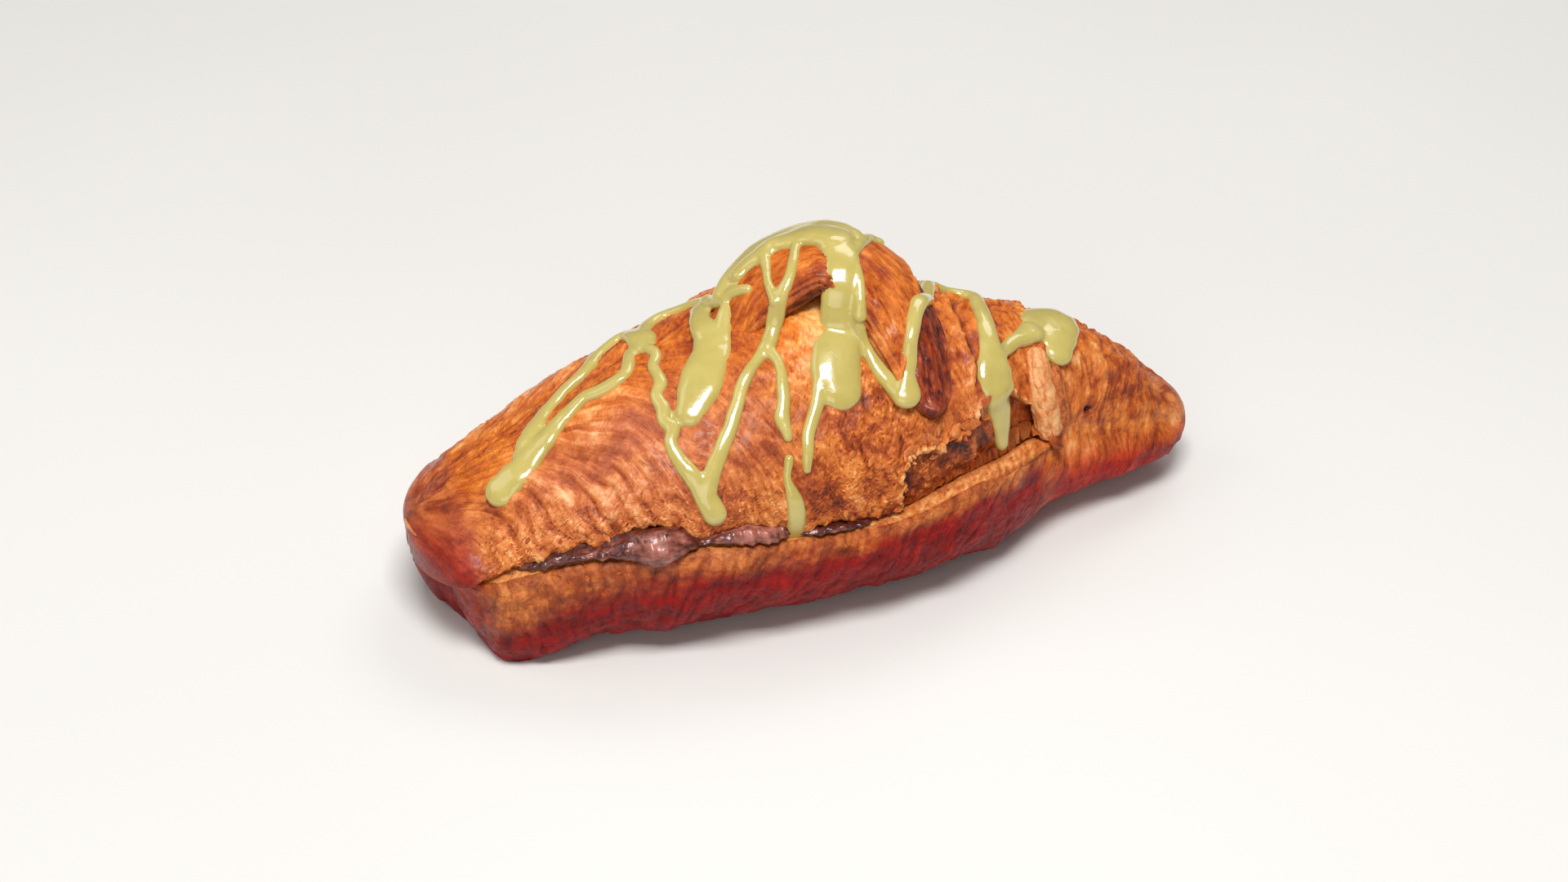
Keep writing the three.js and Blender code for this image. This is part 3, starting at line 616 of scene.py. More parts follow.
def crust_zones(f):
    """Where each kind of surface lies on the crust, as fields of 0 to 1, and its coordinates."""
    x, deg = f["x"], f["degrees"]
    s, climb, w = flow(f)
    share = climb / f["crest"]
    wave = noise(x / 13, climb / 17, w, seed=5)
    s = s + 1.1 * wave + 0.8 * noise(x / 5, climb / 8, w, seed=15)
    outside = 1 - f["is_inside"]
    low_half = (1 - f["upper"]) * ramp(deg, -100, -70) * outside * f["closing"]
    right = ramp(x + 0.10 * np.maximum(climb, 0), 19, 30)
    left = 1 - right
    cap = ramp(x + 0.06 * climb - 0.5 * wave, -66.5, -71.5)
    return {
        "s": s, "climb": climb, "w": w, "share": share, "wave": wave, "outside": outside,
        "low_half": low_half, "high_half": (1 - low_half) * outside,
        "left": left, "right": right, "cap": cap,
        "dome": bump(x, 8, 17) * ramp(share, 0.85, 0.55) * ramp(deg, 120, 90),
        "folded": bump(x, -50, 12) * ramp(share, 0.95, 0.6) * ramp(x, -70, -64),
        "crest": left * ramp(share, 0.72, 0.92) * (1 - cap),
        "lip": ramp(f["up"], 13, 2) * ramp(x, -74, -66) * ramp(x, 40, 24),
        "pit": bump(x, 59, 1.0) * bump(deg, 37, 2.0) * f["upper"],
        "crown_and_painted_light": bump(x, 1, 7) * bump(deg, 78, 11),
        "lump": bump(x, -22, 4.5) * bump(f["down"], 2.5, 3.5),
        "warp": 1.2 * noise(x / 5, climb / 5, w, seed=18),
    }


def add_streaks(f, k):
    """Adds the folds and streaks of the stretched dough, from the widest to the finest."""
    s, climb, w, x = k["s"], k["climb"], k["w"], f["x"]
    k["gathered"] = ramp(fractal(s / 5, climb / 14, w, seed=14), -0.55, 0.45)
    k["folds"] = ridges(s / 5.0, climb / 40, w, seed=6, sharp=1.5)
    k["mid"] = ridges(s / 1.35 + 0.6 * k["wave"], climb / 6.5, w, seed=7, sharp=1.8)
    k["fine"] = noise(s / 0.55, climb / 3.5, w, seed=8)
    k["arcs"] = ridges(s / 2.4, climb / 11, w, seed=16, sharp=1.6)
    k["arcs_fine"] = noise(s / 0.6, climb / 3.5, w, seed=17)
    k["blister"] = fractal(x / 4.4, climb / 4.4, w, seed=20, octaves=4, gain=0.6)
    k["seams"] = ridges((x + k["warp"]) / 2.6, (climb + 0.6 * k["warp"]) / 5.0, w, seed=27,
                        sharp=3.2)


def add_flakes(f, k):
    """Adds the flat flakes of the top layer, with their raised and their hollow edges, and where
    painted shade falls on each flake's steep edge and a painted highlight on its raised rim.
    """
    x, climb, warp = f["x"], k["climb"], k["warp"]
    peel = fractal((x + warp) / 5.2, (climb - warp) / 7.5, k["w"], seed=21, octaves=4, gain=0.55)
    zone = np.clip(0.24 * k["left"] + 0.30 * k["right"] + 0.75 * k["dome"] + 0.8 * k["lip"]
                   - 0.5 * k["cap"] + 0.3 * bump(x, -62, 6) * ramp(k["share"], 0.8, 0.5), 0, 1)
    on_plate = peel * FLAKE_STEPS - np.floor(peel * FLAKE_STEPS)
    k["flaky"] = plates(peel, FLAKE_STEPS)
    k["flake_zone"] = zone
    k["flake_edge"] = bump(on_plate, 0.93, 0.05) * zone
    k["flake_rim"] = bump(on_plate, 0.04, 0.07) * zone


def stretched_height(f, k, sizes):
    """Height of the upper crust's folds, streaks, blisters and flakes."""
    left, right, dome, cap, w = k["left"], k["right"], k["dome"], k["cap"], k["w"]
    x, climb, gathered = f["x"], k["climb"], k["gathered"]
    fold_zone = left * (0.25 + 1.6 * k["folded"]) * (1 - 0.85 * cap) * (1 - 0.8 * dome)
    folds = 1.7 * fold_zone * (k["folds"] - 0.5)
    mid = (left * (0.44 + 0.32 * k["crest"]) * (1 - 0.5 * dome) * k["mid"]
           * (0.25 + 0.9 * gathered) * (1 - 0.75 * cap))
    fine = (0.32 * left * k["fine"] * (1 - 0.4 * dome) * (0.4 + 0.8 * gathered)
            * (1 - 0.5 * cap))
    arcs = right * (0.8 * k["arcs"] * (0.4 + 0.7 * gathered) + 0.25 * k["arcs_fine"])
    height = sizes["streak"] * (folds + mid + fine + arcs)
    height = height + 0.6 * fractal(x / 15, climb / 13, w, seed=25)
    height = height + 0.42 * k["blister"] * (0.4 + 0.35 * dome + 0.35 * right) * (1 - 0.6 * cap)
    height = height + 1.4 * sizes["flake"] * k["flake_zone"] * k["flaky"]
    height = height + dome * (0.26 * (k["seams"] - 0.6)
                              + 0.10 * noise(x / 1.1, climb / 1.3, w, seed=26))
    return (height - 1.3 * k["pit"] + 1.8 * k["crown_and_painted_light"]) * k["high_half"]


def add_torn_edge(f, k):
    """Adds the ragged step where the top crust is torn off beside the slit."""
    x, deg = f["x"], f["degrees"]
    ragged = (3.6 * fractal(x / 4.2, 3.0, seed=44, octaves=4, gain=0.65)
              + 2.0 * noise(x / 0.9, deg / 3, seed=45))
    beside = x - TORN_START - 1.6 * fractal(deg / 7, 8.0, seed=46, octaves=4, gain=0.6)
    torn = (along(x, TORN_STATIONS, TORN_LINE) + ragged - deg) * DEGREE_SPAN
    torn = np.minimum(np.minimum(torn, beside * 1.3), (TORN_END - x) * 0.8)
    here = k["high_half"] * f["upper"]
    edge_here = here * ramp(x, 8, 12) * ramp(x, 50, 44)
    k["torn_in"] = smoothstep(torn / 0.7 + 0.5) * here
    k["torn_rim"] = bump(torn, -0.7, 0.8) * edge_here
    k["torn_shade"] = bump(torn, 0.8, 0.8) * edge_here


def turn_edges(x, degrees):
    """Steps where one turn of the dough ends on the next: fall, crease and rim, each a field."""
    over = np.cos(degrees * RAD) * 0.5 + 0.5
    above = smoothstep((degrees + 5) / 30) * smoothstep((235 - degrees) / 40)
    fall, crease, rim = 0, 0, 0
    for k, (at, lean, drop, outward) in enumerate(TURNS):
        wander = (1.2 * fractal(degrees / 18, 3.1 * k, seed=40 + k)
                  + 0.4 * noise(degrees / 2.2, k, seed=60))
        from_edge = outward * (x - at - lean * over - wander)
        share = above * (0.35 + 0.65 * ramp(noise(degrees / 22, 5.7 * k, seed=66), -0.5, 0.3))
        fall = fall - drop * above * smoothstep(from_edge + 0.5)
        crease = crease + share * bump(from_edge, 0.8, 0.6) * drop
        rim = rim + share * bump(from_edge, -0.8, 1.0) * drop
    return fall, crease, rim


def add_creases(f, k):
    """Adds the creases and rims of the turns and of the leaf behind the cap; gives their fall."""
    x = f["x"]
    fall, crease, rim = turn_edges(x, f["degrees"])
    on_cap = 1 - 0.4 * k["cap"]
    from_leaf = x + 69 - 0.288 * (f["crest"] - k["climb"]) - 0.6 * k["wave"]
    leaf = ramp(k["share"], 0.75, 0.5) * k["high_half"] * ramp(x, -75, -68)
    k["crease"] = crease * (1 - k["torn_in"]) * on_cap + 0.6 * leaf * bump(from_leaf, 0.4, 0.9)
    k["rim"] = rim * on_cap + 0.5 * leaf * bump(from_leaf, 2.0, 1.2)
    return fall


def low_height(f, k):
    """Height of the lower half, which is wrinkled, pitted and swollen, and flakes a little."""
    x, down, s, warp = f["x"], f["down"], k["s"], k["warp"]
    k["wrinkle"] = ridges(s / 3.4, down / 13, 5.0, seed=30, sharp=1.4)
    k["scales"] = ridges(s / 1.5, down / 6, 5.0, seed=29, sharp=1.5)
    k["pits"] = fractal(x / 3.4, down / 3.0, 6.0, seed=31, octaves=4, gain=0.6)
    k["swell"] = fractal(x / 13, down / 14, 2.0, seed=32)
    peel = fractal((x + warp) / 6, (down + warp) / 4.5, 7.0, seed=33, octaves=4)
    k["low_flaky"] = plates(peel, 2.6)
    dents = bump(x, -44, 5) * bump(down, 17, 6) + 0.7 * bump(x, 4, 4) * bump(down, 16, 6)
    height = (0.42 * k["wrinkle"] + 0.14 * k["scales"] + 0.28 * k["pits"] + 1.1 * k["swell"]
              + 0.4 * k["low_flaky"] + 1.4 * k["lump"] * (1 + 0.5 * k["pits"]) - 1.6 * dents)
    return k["low_half"] * height * ramp(down, 0.3, 3.5)


def crumb_height(f, k):
    """Height of the open crumb on the cut faces and along the lower lip."""
    x, down, inside = f["x"], f["down"], f["inside"]
    k["pores"] = (fractal(x / 1.7, inside / 1.7, 1.0, seed=35)
                  + 0.6 * noise(x / 0.8, inside / 0.8, seed=36))
    k["grainy"] = fractal(x / 1.5, down / 1.4, 1.0, seed=38, octaves=3, gain=0.7)
    edge = ramp(down, along(x, RIM_STATIONS, RIM_WIDTH), 0.0) * (1 - f["upper"])
    edge = edge * k["outside"] * f["closing"]
    return f["is_inside"] * 0.4 * k["pores"] * ramp(inside, 0.0, 1.2) + edge * 0.26 * k["grainy"]


def crust_relief(f, sizes):
    """Height of the crust's detail, and the fields that its colours follow."""
    x = f["x"]
    k = crust_zones(f)
    add_streaks(f, k)
    add_flakes(f, k)
    height = stretched_height(f, k, sizes)
    add_torn_edge(f, k)
    height = height * (1 - 0.5 * k["torn_in"]) - TORN_DEPTH * k["torn_in"] + 0.65 * k["torn_rim"]
    fall = add_creases(f, k)
    edges = (0.22 * k["rim"] - 0.40 * k["crease"]) * np.maximum(f["upper"], 1 - f["closing"])
    height = height + (fall + edges) * k["outside"]
    height = height + low_height(f, k) + crumb_height(f, k)
    return height * ramp(x, BLUNT_END, -74) * ramp(x, POINTED_END, 78), k


# ---- crust: its colours ---------------------------------------------------------------------
# How far below the slit the crust turns to the red-brown of the base, partly painted red bounce
# light.
BASE_AND_BOUNCE_STATIONS = (-80, -66, -55, -42, -25, -8, 10, 40, 85)
BASE_AND_BOUNCE_START = (4, 6.5, 4.0, 1.6, 1.0, 1.2, 0.6, 1.6, 1.0)
BASE_AND_BOUNCE_LENGTH = (8, 9, 9, 8, 8, 6, 4.5, 4.5, 6)


def upper_bake_and_shade(f, k, patch, spots):
    """How dark the upper crust is: 0 pale, 0.5 golden brown, 1 dark. Mostly how far it is baked,
    with painted shade in creases, flake edges, the torn recess and a pit, and painted light on
    rims, flake rims and the dome's top.
    """
    x, share, cap, dome = f["x"], k["share"], k["cap"], k["dome"]
    left, right, gathered = k["left"], k["right"], k["gathered"]
    bands = noise(k["s"] / 5.5, k["climb"] / 22, k["w"], seed=52)
    ridge = left * (0.55 * k["mid"] + 0.45 * k["folds"]) + right * k["arcs"]
    streaked = (1 - 0.7 * dome) * (0.3 + 0.8 * gathered) * (1 - 0.5 * cap)
    painted_light_dome_top = dome * bump(x, 4, 13) * ramp(share, 0.42, 0.66)
    parts = (
        0.45 + 0.17 * patch + 0.19 * spots + 0.08 * bands,
        0.24 * (0.60 - ridge) * streaked,
        0.08 * k["fine"] * left + 0.08 * k["arcs_fine"] * right,
        -0.04 * bump(x, -61, 6) * ramp(share, 0.75, 0.4),
        0.07 * ramp(x, -30, -50) * ramp(share, 0.6, 0.3),
        -0.34 * k["folded"] * (k["folds"] - 0.30) - 0.10 * k["folded"],
        0.06 * bump(x, -28, 15) * bump(share, 0.5, 0.3),
        0.12 * cap * (1 - ramp(k["fine"], 0.1, 0.7)),
        dome * (0.07 - 0.14 * k["flaky"] - 0.12 * k["blister"] + 0.13 * (0.62 - k["seams"])),
        # painted light: the dome's top and its raised crown under the strip's arch are made paler
        -0.20 * painted_light_dome_top - 0.40 * k["crown_and_painted_light"],
        # painted shade in the creases at the foot of each turn and of the leaf, painted highlight
        # on their raised rims
        0.30 * np.clip(k["crease"], 0, 1.2) * (1 - 0.6 * cap) - 0.12 * np.clip(k["rim"], 0, 1),
        # painted shade on the flakes' steep edges, painted highlight on their raised rims
        0.32 * k["flake_edge"] - 0.26 * k["flake_rim"],
        # darker toward the pointed end; the small pit is darkened as painted shade
        0.08 * ramp(x, 60, 80) + 0.6 * k["pit"],
        # painted shade in the torn recess and beside its step; the torn rim is paler
        0.22 * k["torn_in"] - 0.36 * k["torn_rim"] + 0.26 * k["torn_shade"],
        -0.16 * k["lip"] * ramp(k["flaky"], -0.2, 0.5),
    )
    return sum(parts)


def lower_bake(f, k):
    """How far the lower crust is baked, in the same terms."""
    return (0.60 + 0.16 * k["pits"] + 0.24 * (0.55 - k["wrinkle"]) + 0.12 * (0.5 - k["scales"])
            + 0.10 * ramp(f["down"], 4, 22) - 0.10 * k["low_flaky"] + 0.08 * k["grainy"])


def crust_red_base_and_bounce(f, k, patch, spots):
    """Where the crust has the red-brown of its base, deepened to saturated red as painted red
    bounce light.
    """
    x, deg, outside, shut = f["x"], f["degrees"], k["outside"], 1 - f["closing"]
    start = along(x, BASE_AND_BOUNCE_STATIONS, BASE_AND_BOUNCE_START)
    length = along(x, BASE_AND_BOUNCE_STATIONS, BASE_AND_BOUNCE_LENGTH)
    uneven = 2.0 * patch + spots + 1.5 * k["swell"]
    places = (
        k["low_half"] * smoothstep((f["down"] + uneven - start) / length),
        shut * ramp(deg + 7 * patch + 3 * spots, 20, -14) * outside,
        ramp(deg, -12, -45) * outside,
        0.85 * ramp(deg, 192, 228) * outside,
        k["cap"] * (0.25 + 0.6 * ramp(k["climb"], 20, 2)) * outside,
    )
    return np.maximum.reduce(places)


def crust_crumb(f, k, patch, spots):
    """Where the pale open crumb shows."""
    x, inside = f["x"], f["inside"]
    rim = along(x, RIM_STATIONS, RIM_WIDTH)
    beside = ramp(f["down"] + 1.6 * patch + 0.8 * spots, rim + 1.2, rim - 1)
    crumb = f["is_low"] * ramp(inside, 9.0, 3.0) + (1 - f["upper"]) * k["outside"] * beside
    crumb = crumb + 0.8 * k["lump"] * k["low_half"]
    crumb = np.clip(crumb * (0.60 + 0.4 * patch + 0.5 * spots), 0, 1)
    crumb = crumb * f["closing"] * ramp(x, -79, -70)
    return np.maximum(crumb, f["is_inside"] * (1 - f["is_low"]) * 0.35 * ramp(inside, 6, 1))


def crust_colours(f, k):
    """Masks of 0 to 1 that the crust's material mixes its colours by."""
    x, climb, share, w = f["x"], k["climb"], k["share"], k["w"]
    left, right, dome, cap, low_half = k["left"], k["right"], k["dome"], k["cap"], k["low_half"]
    patch = fractal(x / 11, climb / 9, w, seed=50)
    spots = fractal(x / 3.2, climb / 3.0, w, seed=51, octaves=4, gain=0.6)

    glow = (left * (0.15 + 0.85 * ramp(share, 0.5, 0.85)) * (1 - 0.8 * cap) + 0.35 * dome
            + right * (0.45 + 0.45 * ramp(share, 0.35, 0.85)))
    mauve = (left * bump(x, -37, 22) * bump(share, 0.45, 0.38) * (0.65 + 0.5 * patch) * (1 - dome)
             # no rosy skin on the crown, so its painted light stays pale
             + 0.35 * dome * np.clip(0.3 + 1.2 * patch, 0, 1) * (1 - k["crown_and_painted_light"])
             # painted highlights: pinkish streaks along the fine ridges of the cap
             + 0.55 * cap * ramp(k["fine"], -0.1, 0.5)
             + 0.4 * right * bump(share, 0.35, 0.25) * (0.5 + 0.5 * k["wave"]))
    crumb = crust_crumb(f, k, patch, spots)
    # painted shade: the cut faces darken the deeper they lie in the slit
    deep = f["is_inside"] * ramp(f["inside"], 2.0, 7.0)
    low_share = low_half * f["closing"]
    bake = upper_bake_and_shade(f, k, patch, spots) * (1 - low_share) + lower_bake(f, k) * low_share
    bake = bake + (0.38 + 0.3 * k["pores"] + 0.5 * deep - bake) * f["is_inside"]
    gloss = 0.9 * cap + 0.6 * mauve + 0.5 * k["crest"] + 0.4 * right + 0.35 * low_half
    fields = {
        "bake": bake, "glow": np.clip(glow + 0.3 * patch, 0, 1), "mauve": mauve,
        "blush": crust_red_base_and_bounce(f, k, patch, spots), "crumb": crumb, "deep": deep,
        "gloss": np.clip(gloss - crumb - 0.3 * dome, 0, 1) * (0.8 + 0.5 * patch),
        "rough": 0.6 * dome + 0.7 * k["lip"] + crumb + 0.15 * low_half,
    }
    return {key: np.clip(v, 0, 1) for key, v in fields.items()}


def crust_points(sizes):
    """The crust as a grid of points in millimetres, with its colour masks."""
    points, f = crust_fields()
    # normals of the outside alone where the slit is shut, so no seam shows there
    normals = grid_normals(points)
    sealed = grid_normals(points[:, :AROUND])
    open_here = f["closing"][:, :AROUND, None]
    normals[:, :AROUND] = unit(normals[:, :AROUND] * open_here + sealed * (1 - open_here))
    middle = points.shape[0] // 2
    outward = points[middle] - points[middle].mean(0)
    if np.mean(np.sum(normals[middle] * outward, -1)[:AROUND]) < 0:
        normals = -normals
    height, k = crust_relief(f, sizes)
    points = points + normals * height[..., None]
    points[..., 2] = np.maximum(points[..., 2], BASE_CUT)
    masks = crust_colours(f, k)
    masks["flow"] = np.stack([k["s"], k["climb"], k["w"] * 10], -1) / 10
    return points, masks


# ---- hood -----------------------------------------------------------------------------------
# Edge of the strip's outer leaf along the strip, -1 and 1 being the strip's own edges. The flank
# beyond it lies lower and is baked darker.
LEAF_STATIONS = (0.6, 0.72, 0.83, 0.91, 0.98)
LEAF_EDGE = (-1.1, -0.5, 0.36, 0.86, 1.15)


def hood_form(fill, steps, sides):
    """Points and normals of the strip of dough, or of its fill, and coordinates on it."""
    t = np.linspace(0, 1, steps + 1)
    centre = spline(HOOD_SPINE, t, False)
    tangent = unit(np.gradient(centre, axis=0))
    out = centre - np.array(HOOD_CENTRE, float)
    out = unit(out - tangent * np.sum(out * tangent, 1, keepdims=True))
    side = np.cross(tangent, out)
    order = np.arange(len(HOOD_SPINE))
    half_width = along(t * order[-1], order, HOOD_HALF_WIDTH)
    half_width = half_width * np.sqrt(1 - np.clip((t - 1 + HOOD_TIP) / HOOD_TIP, 0, 0.98) ** 2)
    half_thickness = along(t * order[-1], order, HOOD_HALF_THICKNESS)
    if fill:
        half_width = half_width * fill["width"]
        half_thickness = np.full(len(t), float(fill["thickness"]))
        centre = centre - fill["drop"] * out - side * (fill["back"] * np.sin(np.pi * t))[:, None]
    turn = 2 * np.pi * np.arange(sides) / sides
    c, s = np.cos(turn)[None, :], np.sin(turn)[None, :]
    across, up = half_width[:, None] * c, half_thickness[:, None] * s
    points = centre[:, None] + side[:, None] * across[..., None] + out[:, None] * up[..., None]
    normals = unit(side[:, None] * (c / half_width[:, None])[..., None]
                   + out[:, None] * (s / half_thickness[:, None])[..., None])
    steps_run = np.linalg.norm(np.diff(centre, axis=0), axis=1)
    length = np.concatenate([[0], np.cumsum(steps_run)])[:, None]
    return points, normals, {"t": t[:, None], "c": c, "s": s, "across": across, "up": up,
                             "length": length}


def hood_points(fill, steps, sides, sizes):
    """The wide strip of dough over the middle, or the dough that fills in below its rear."""
    points, normals, h = hood_form(fill, steps, sides)
    t, c, s, across, up, length = (h[key] for key in ("t", "c", "s", "across", "up", "length"))
    edge = ramp(np.abs(c), 0.80, 0.97)
    wave = noise(length / 14, across / 8, seed=70)
    bunched = ramp(fractal(across / 4, length / 12, 1.0, seed=78), -0.5, 0.4)
    streak = ridges(across / 1.1 + 0.9 * wave, length / 7, seed=71)
    fine = noise(across / 0.6 + 0.4 * wave, length / 4.5, seed=72)
    layers = ridges(up / 0.95 + 0.25 * wave, length / 22, 4.0, seed=73)
    patch = fractal(length / 9, across / 6, 3.0, seed=74)
    spots = fractal(length / 3, across / 2, 5.0, seed=77, octaves=4, gain=0.6)

    leaf_edge = along(t, LEAF_STATIONS, LEAF_EDGE)
    from_leaf = c + 0 * up - leaf_edge - 0.05 * noise(length / 3, 1.0, seed=75)
    leaf_here = ramp(t, 0.55, 0.66)
    flank = ramp(from_leaf, 0.02, -0.07) * ramp(t, 0.56, 0.66)
    crease = bump(from_leaf, -0.02, 0.05) * leaf_here
    rim = bump(from_leaf, 0.10, 0.08) * leaf_here

    streaked = 0.6 * streak * (0.2 + 0.8 * bunched) + 0.28 * fine
    height = (1 - edge) * streaked * sizes["streak"] + 0.8 * edge * layers
    height = height + 0.4 * fractal(length / 5, across / 3, 2.0, seed=76) * (0.5 + 0.5 * flank)
    height = height + 0.35 * wave - 0.9 * flank - 0.5 * crease + 0.35 * rim
    points = points + normals * (height * ramp(t, 0, 0.06) * ramp(t, 1, 0.96))[..., None]

    grooved = 0.6 - (streak * (1 - edge) + layers * edge)
    parts = (
        0.50 + 0.17 * patch + 0.07 * fine + 0.13 * spots,
        0.15 * grooved * (0.4 + 0.8 * bunched),
        # painted shade in the leaf's crease, painted highlight along its rim
        0.26 * flank * (1 + spots) + 0.4 * crease - 0.15 * rim,
        # on the edge, painted shade where it faces in toward the body
        edge * (0.25 * ramp(-s, 0.0, 0.5) + 0.2 * (0.5 - layers) + 0.22 * ramp(t, 0.62, 0.45)),
        # painted shade on the strip's underside
        0.12 * ramp(-s, 0.3, 0.9),
    )
    bake = sum(parts)
    zero = np.zeros_like(bake)
    top = ramp(s, -0.2, 0.5)
    fields = {
        "bake": bake, "glow": 0.85 * top * (1 - flank) + 0.2 * patch,
        "mauve": 0.4 * flank * ramp(spots, -0.2, 0.5), "blush": 0.4 * flank,
        # painted shade on the strip's underside
        "crumb": 0.12 * edge * layers, "deep": 0.4 * ramp(-s, 0.2, 0.8),
        "gloss": 0.35 + 0.5 * flank, "rough": 0.4 * edge,
    }
    masks = {key: np.clip(v + zero, 0, 1) for key, v in fields.items()}
    drawn = np.stack([across * (1 - edge) + up * edge, length + zero, 30 + 9 * edge + zero], -1)
    masks["flow"] = drawn / 10
    return points, masks


# ---- materials ------------------------------------------------------------------------------
def linear(colour):
    """An sRGB colour of 0 to 255 as linear RGBA."""
    c = np.asarray(colour, float) / 255
    return tuple(np.where(c <= 0.04045, c / 12.92, ((c + 0.055) / 1.055) ** 2.4)) + (1.0,)


class Nodes:
    """Short calls for making a material's nodes."""

    def __init__(self, name):
        self.material = bpy.data.materials.new(name)
        self.material.use_nodes = True
        self.tree = self.material.node_tree
        self.shader = self.tree.nodes["Principled BSDF"]

    def add(self, kind, settings=None, **inputs):
        node = self.tree.nodes.new(kind)
        for key, value in (settings or {}).items():
            setattr(node, key, value)
        for key, value in inputs.items():
            self.feed(node.inputs[key.replace("_", " ")], value)
        return node

    def feed(self, socket, value):
        if isinstance(value, bpy.types.NodeSocket):
            self.tree.links.new(value, socket)
        else:
            socket.default_value = value

    def mask(self, name):
        return self.add("ShaderNodeAttribute", {"attribute_name": name}).outputs["Fac"]

    def math(self, operation, a, b=0.0, clamp=False):
        node = self.add("ShaderNodeMath", {"operation": operation, "use_clamp": clamp})
        self.feed(node.inputs[0], a)
        self.feed(node.inputs[1], b)
        return node.outputs[0]

    def product(self, a, b):
        return self.math("MULTIPLY", a, b)

    def total(self, a, b):
        return self.math("ADD", a, b)

    def grain(self, scale, detail=4.0, roughness=0.6, stretch=(1, 1, 1)):
        """Noise of 0 to 1 in the object's own coordinates, scale in features a metre."""
        at = self.add("ShaderNodeTexCoord").outputs["Object"]
        if stretch != (1, 1, 1):
            at = self.add("ShaderNodeMapping", Vector=at, Scale=stretch).outputs[0]
        return self.add("ShaderNodeTexNoise", Vector=at, Scale=scale, Detail=detail,
                        Roughness=roughness).outputs["Fac"]

    def flow(self, scale, detail=3.0):
        """Noise of 0 to 1 drawn out along the streaks; scale is in features a centimetre."""
        at = self.add("ShaderNodeAttribute", {"attribute_name": "flow"}).outputs["Vector"]
        at = self.add("ShaderNodeMapping", Vector=at, Scale=scale).outputs[0]
        node = self.add("ShaderNodeTexNoise", Vector=at, Scale=1.0, Detail=detail, Roughness=0.6)
        node.inputs["Distortion"].default_value = 0.6
        return node.outputs["Fac"]

    def cells(self, scale):
        """Distance from the nearest edge of small uneven cells, scale in cells a metre."""
        at = self.add("ShaderNodeTexCoord").outputs["Object"]
        drift = self.add("ShaderNodeTexNoise", Vector=at, Scale=scale * 0.8, Detail=2.0)
        bent = self.add("ShaderNodeMix", {"data_type": "VECTOR"})
        bent.inputs[0].default_value = 0.0006
        self.feed(bent.inputs[4], at)
        self.feed(bent.inputs[5], drift.outputs["Color"])
        return self.add("ShaderNodeTexVoronoi", {"feature": "DISTANCE_TO_EDGE"},
                        Vector=bent.outputs[1], Scale=scale).outputs["Distance"]

    def centred(self, value):
        return self.math("SUBTRACT", value, 0.5)

    def mix(self, factor, a, b):
        node = self.add("ShaderNodeMix", {"data_type": "RGBA"})
        self.feed(node.inputs[0], factor)
        self.feed(node.inputs[6], a)
        self.feed(node.inputs[7], b)
        return node.outputs[2]

    def ramp(self, factor, stops):
        node = self.add("ShaderNodeValToRGB", Fac=factor)
        elements = node.color_ramp.elements
        while len(elements) < len(stops):
            elements.new(0.5)
        for element, (position, colour) in zip(elements, stops):
            element.position = position
            element.color = colour
        return node.outputs[0]

    def shades(self, factor, *stops):
        """Colours between stops of a position and an sRGB of 0 to 255."""
        return self.ramp(factor, [(position, linear(shade)) for position, shade in stops])

    def finish(self, inputs):
        """Feeds the shader's own inputs, by name."""
        for name, value in inputs.items():
            self.feed(self.shader.inputs[name], value)

    def add_bump(self, strength, distance, height, normal=None):
        """Raises the shaded surface by a height, over another bump's normal if one is given."""
        node = self.add("ShaderNodeBump", Strength=strength, Distance=distance, Height=height)
        if normal is not None:
            self.feed(node.inputs["Normal"], normal)
        self.feed(self.shader.inputs["Normal"], node.outputs[0])


BLACK, WHITE = (0, 0, 0, 1), (1, 1, 1, 1)
# Fixed ends of the crust's colours, as sRGB of 0 to 255.
ORANGE_PALE, ORANGE_BROWN, ORANGE_DARK = (254, 200, 116), (166, 64, 8), (74, 20, 6)
MAUVE_PALE, MAUVE_DARK = (248, 190, 150), (92, 30, 20)
CRUMB_PALE, CRUMB_DARK = (244, 188, 124), (136, 52, 22)
# red ends of the base colours, saturated as painted red bounce light on the underside
BASE_LIGHT, BASE_DARK = (220, 60, 22), (84, 2, 4)
# colour of the painted shade in the slit and under the strip
PAINTED_SHADE_COLOUR = (60, 20, 12)
# lightest chocolate: thin smear, and painted reflection on the tongue
CHOCOLATE_LIGHT = (176, 106, 90)


def crust_texture(n):
    """The crust's fine texture: how far it is baked, with the painted shade and light its mask
    carries, grain, specks, and height of its relief.
    """
    rough = n.mask("rough")
    grain = n.grain(900, detail=6.0, roughness=0.72)
    speck = n.grain(2600, detail=3.0)
    across = n.flow((5.5, 1.9, 1.0), detail=5.0)
    threads = n.flow((15.0, 4.2, 1.0), detail=3.0)
    gathered = n.ramp(n.flow((1.7, 1.0, 1.0), detail=3.0), ((0.40, BLACK), (0.60, WHITE)))
    threads = n.product(n.centred(threads), n.total(0.12, n.product(gathered, 0.5)))
    lift = n.total(n.product(n.centred(across), 0.42), threads)
    lift = n.product(lift, n.math("SUBTRACT", 1.0, n.product(rough, 0.7)))
    mottle = n.product(n.centred(grain), n.total(0.38, n.product(rough, 0.22)))
    cracks = n.ramp(n.cells(420), ((0.0, WHITE), (0.07, BLACK)))
    cracks = n.product(cracks, n.total(0.03, n.product(rough, 0.09)))
    bake = n.math("SUBTRACT", n.total(n.total(n.mask("bake"), mottle), cracks), lift, True)
    relief = n.math("SUBTRACT", n.math("SUBTRACT", lift, n.product(mottle, 0.8)), cracks)
    return bake, grain, speck, relief


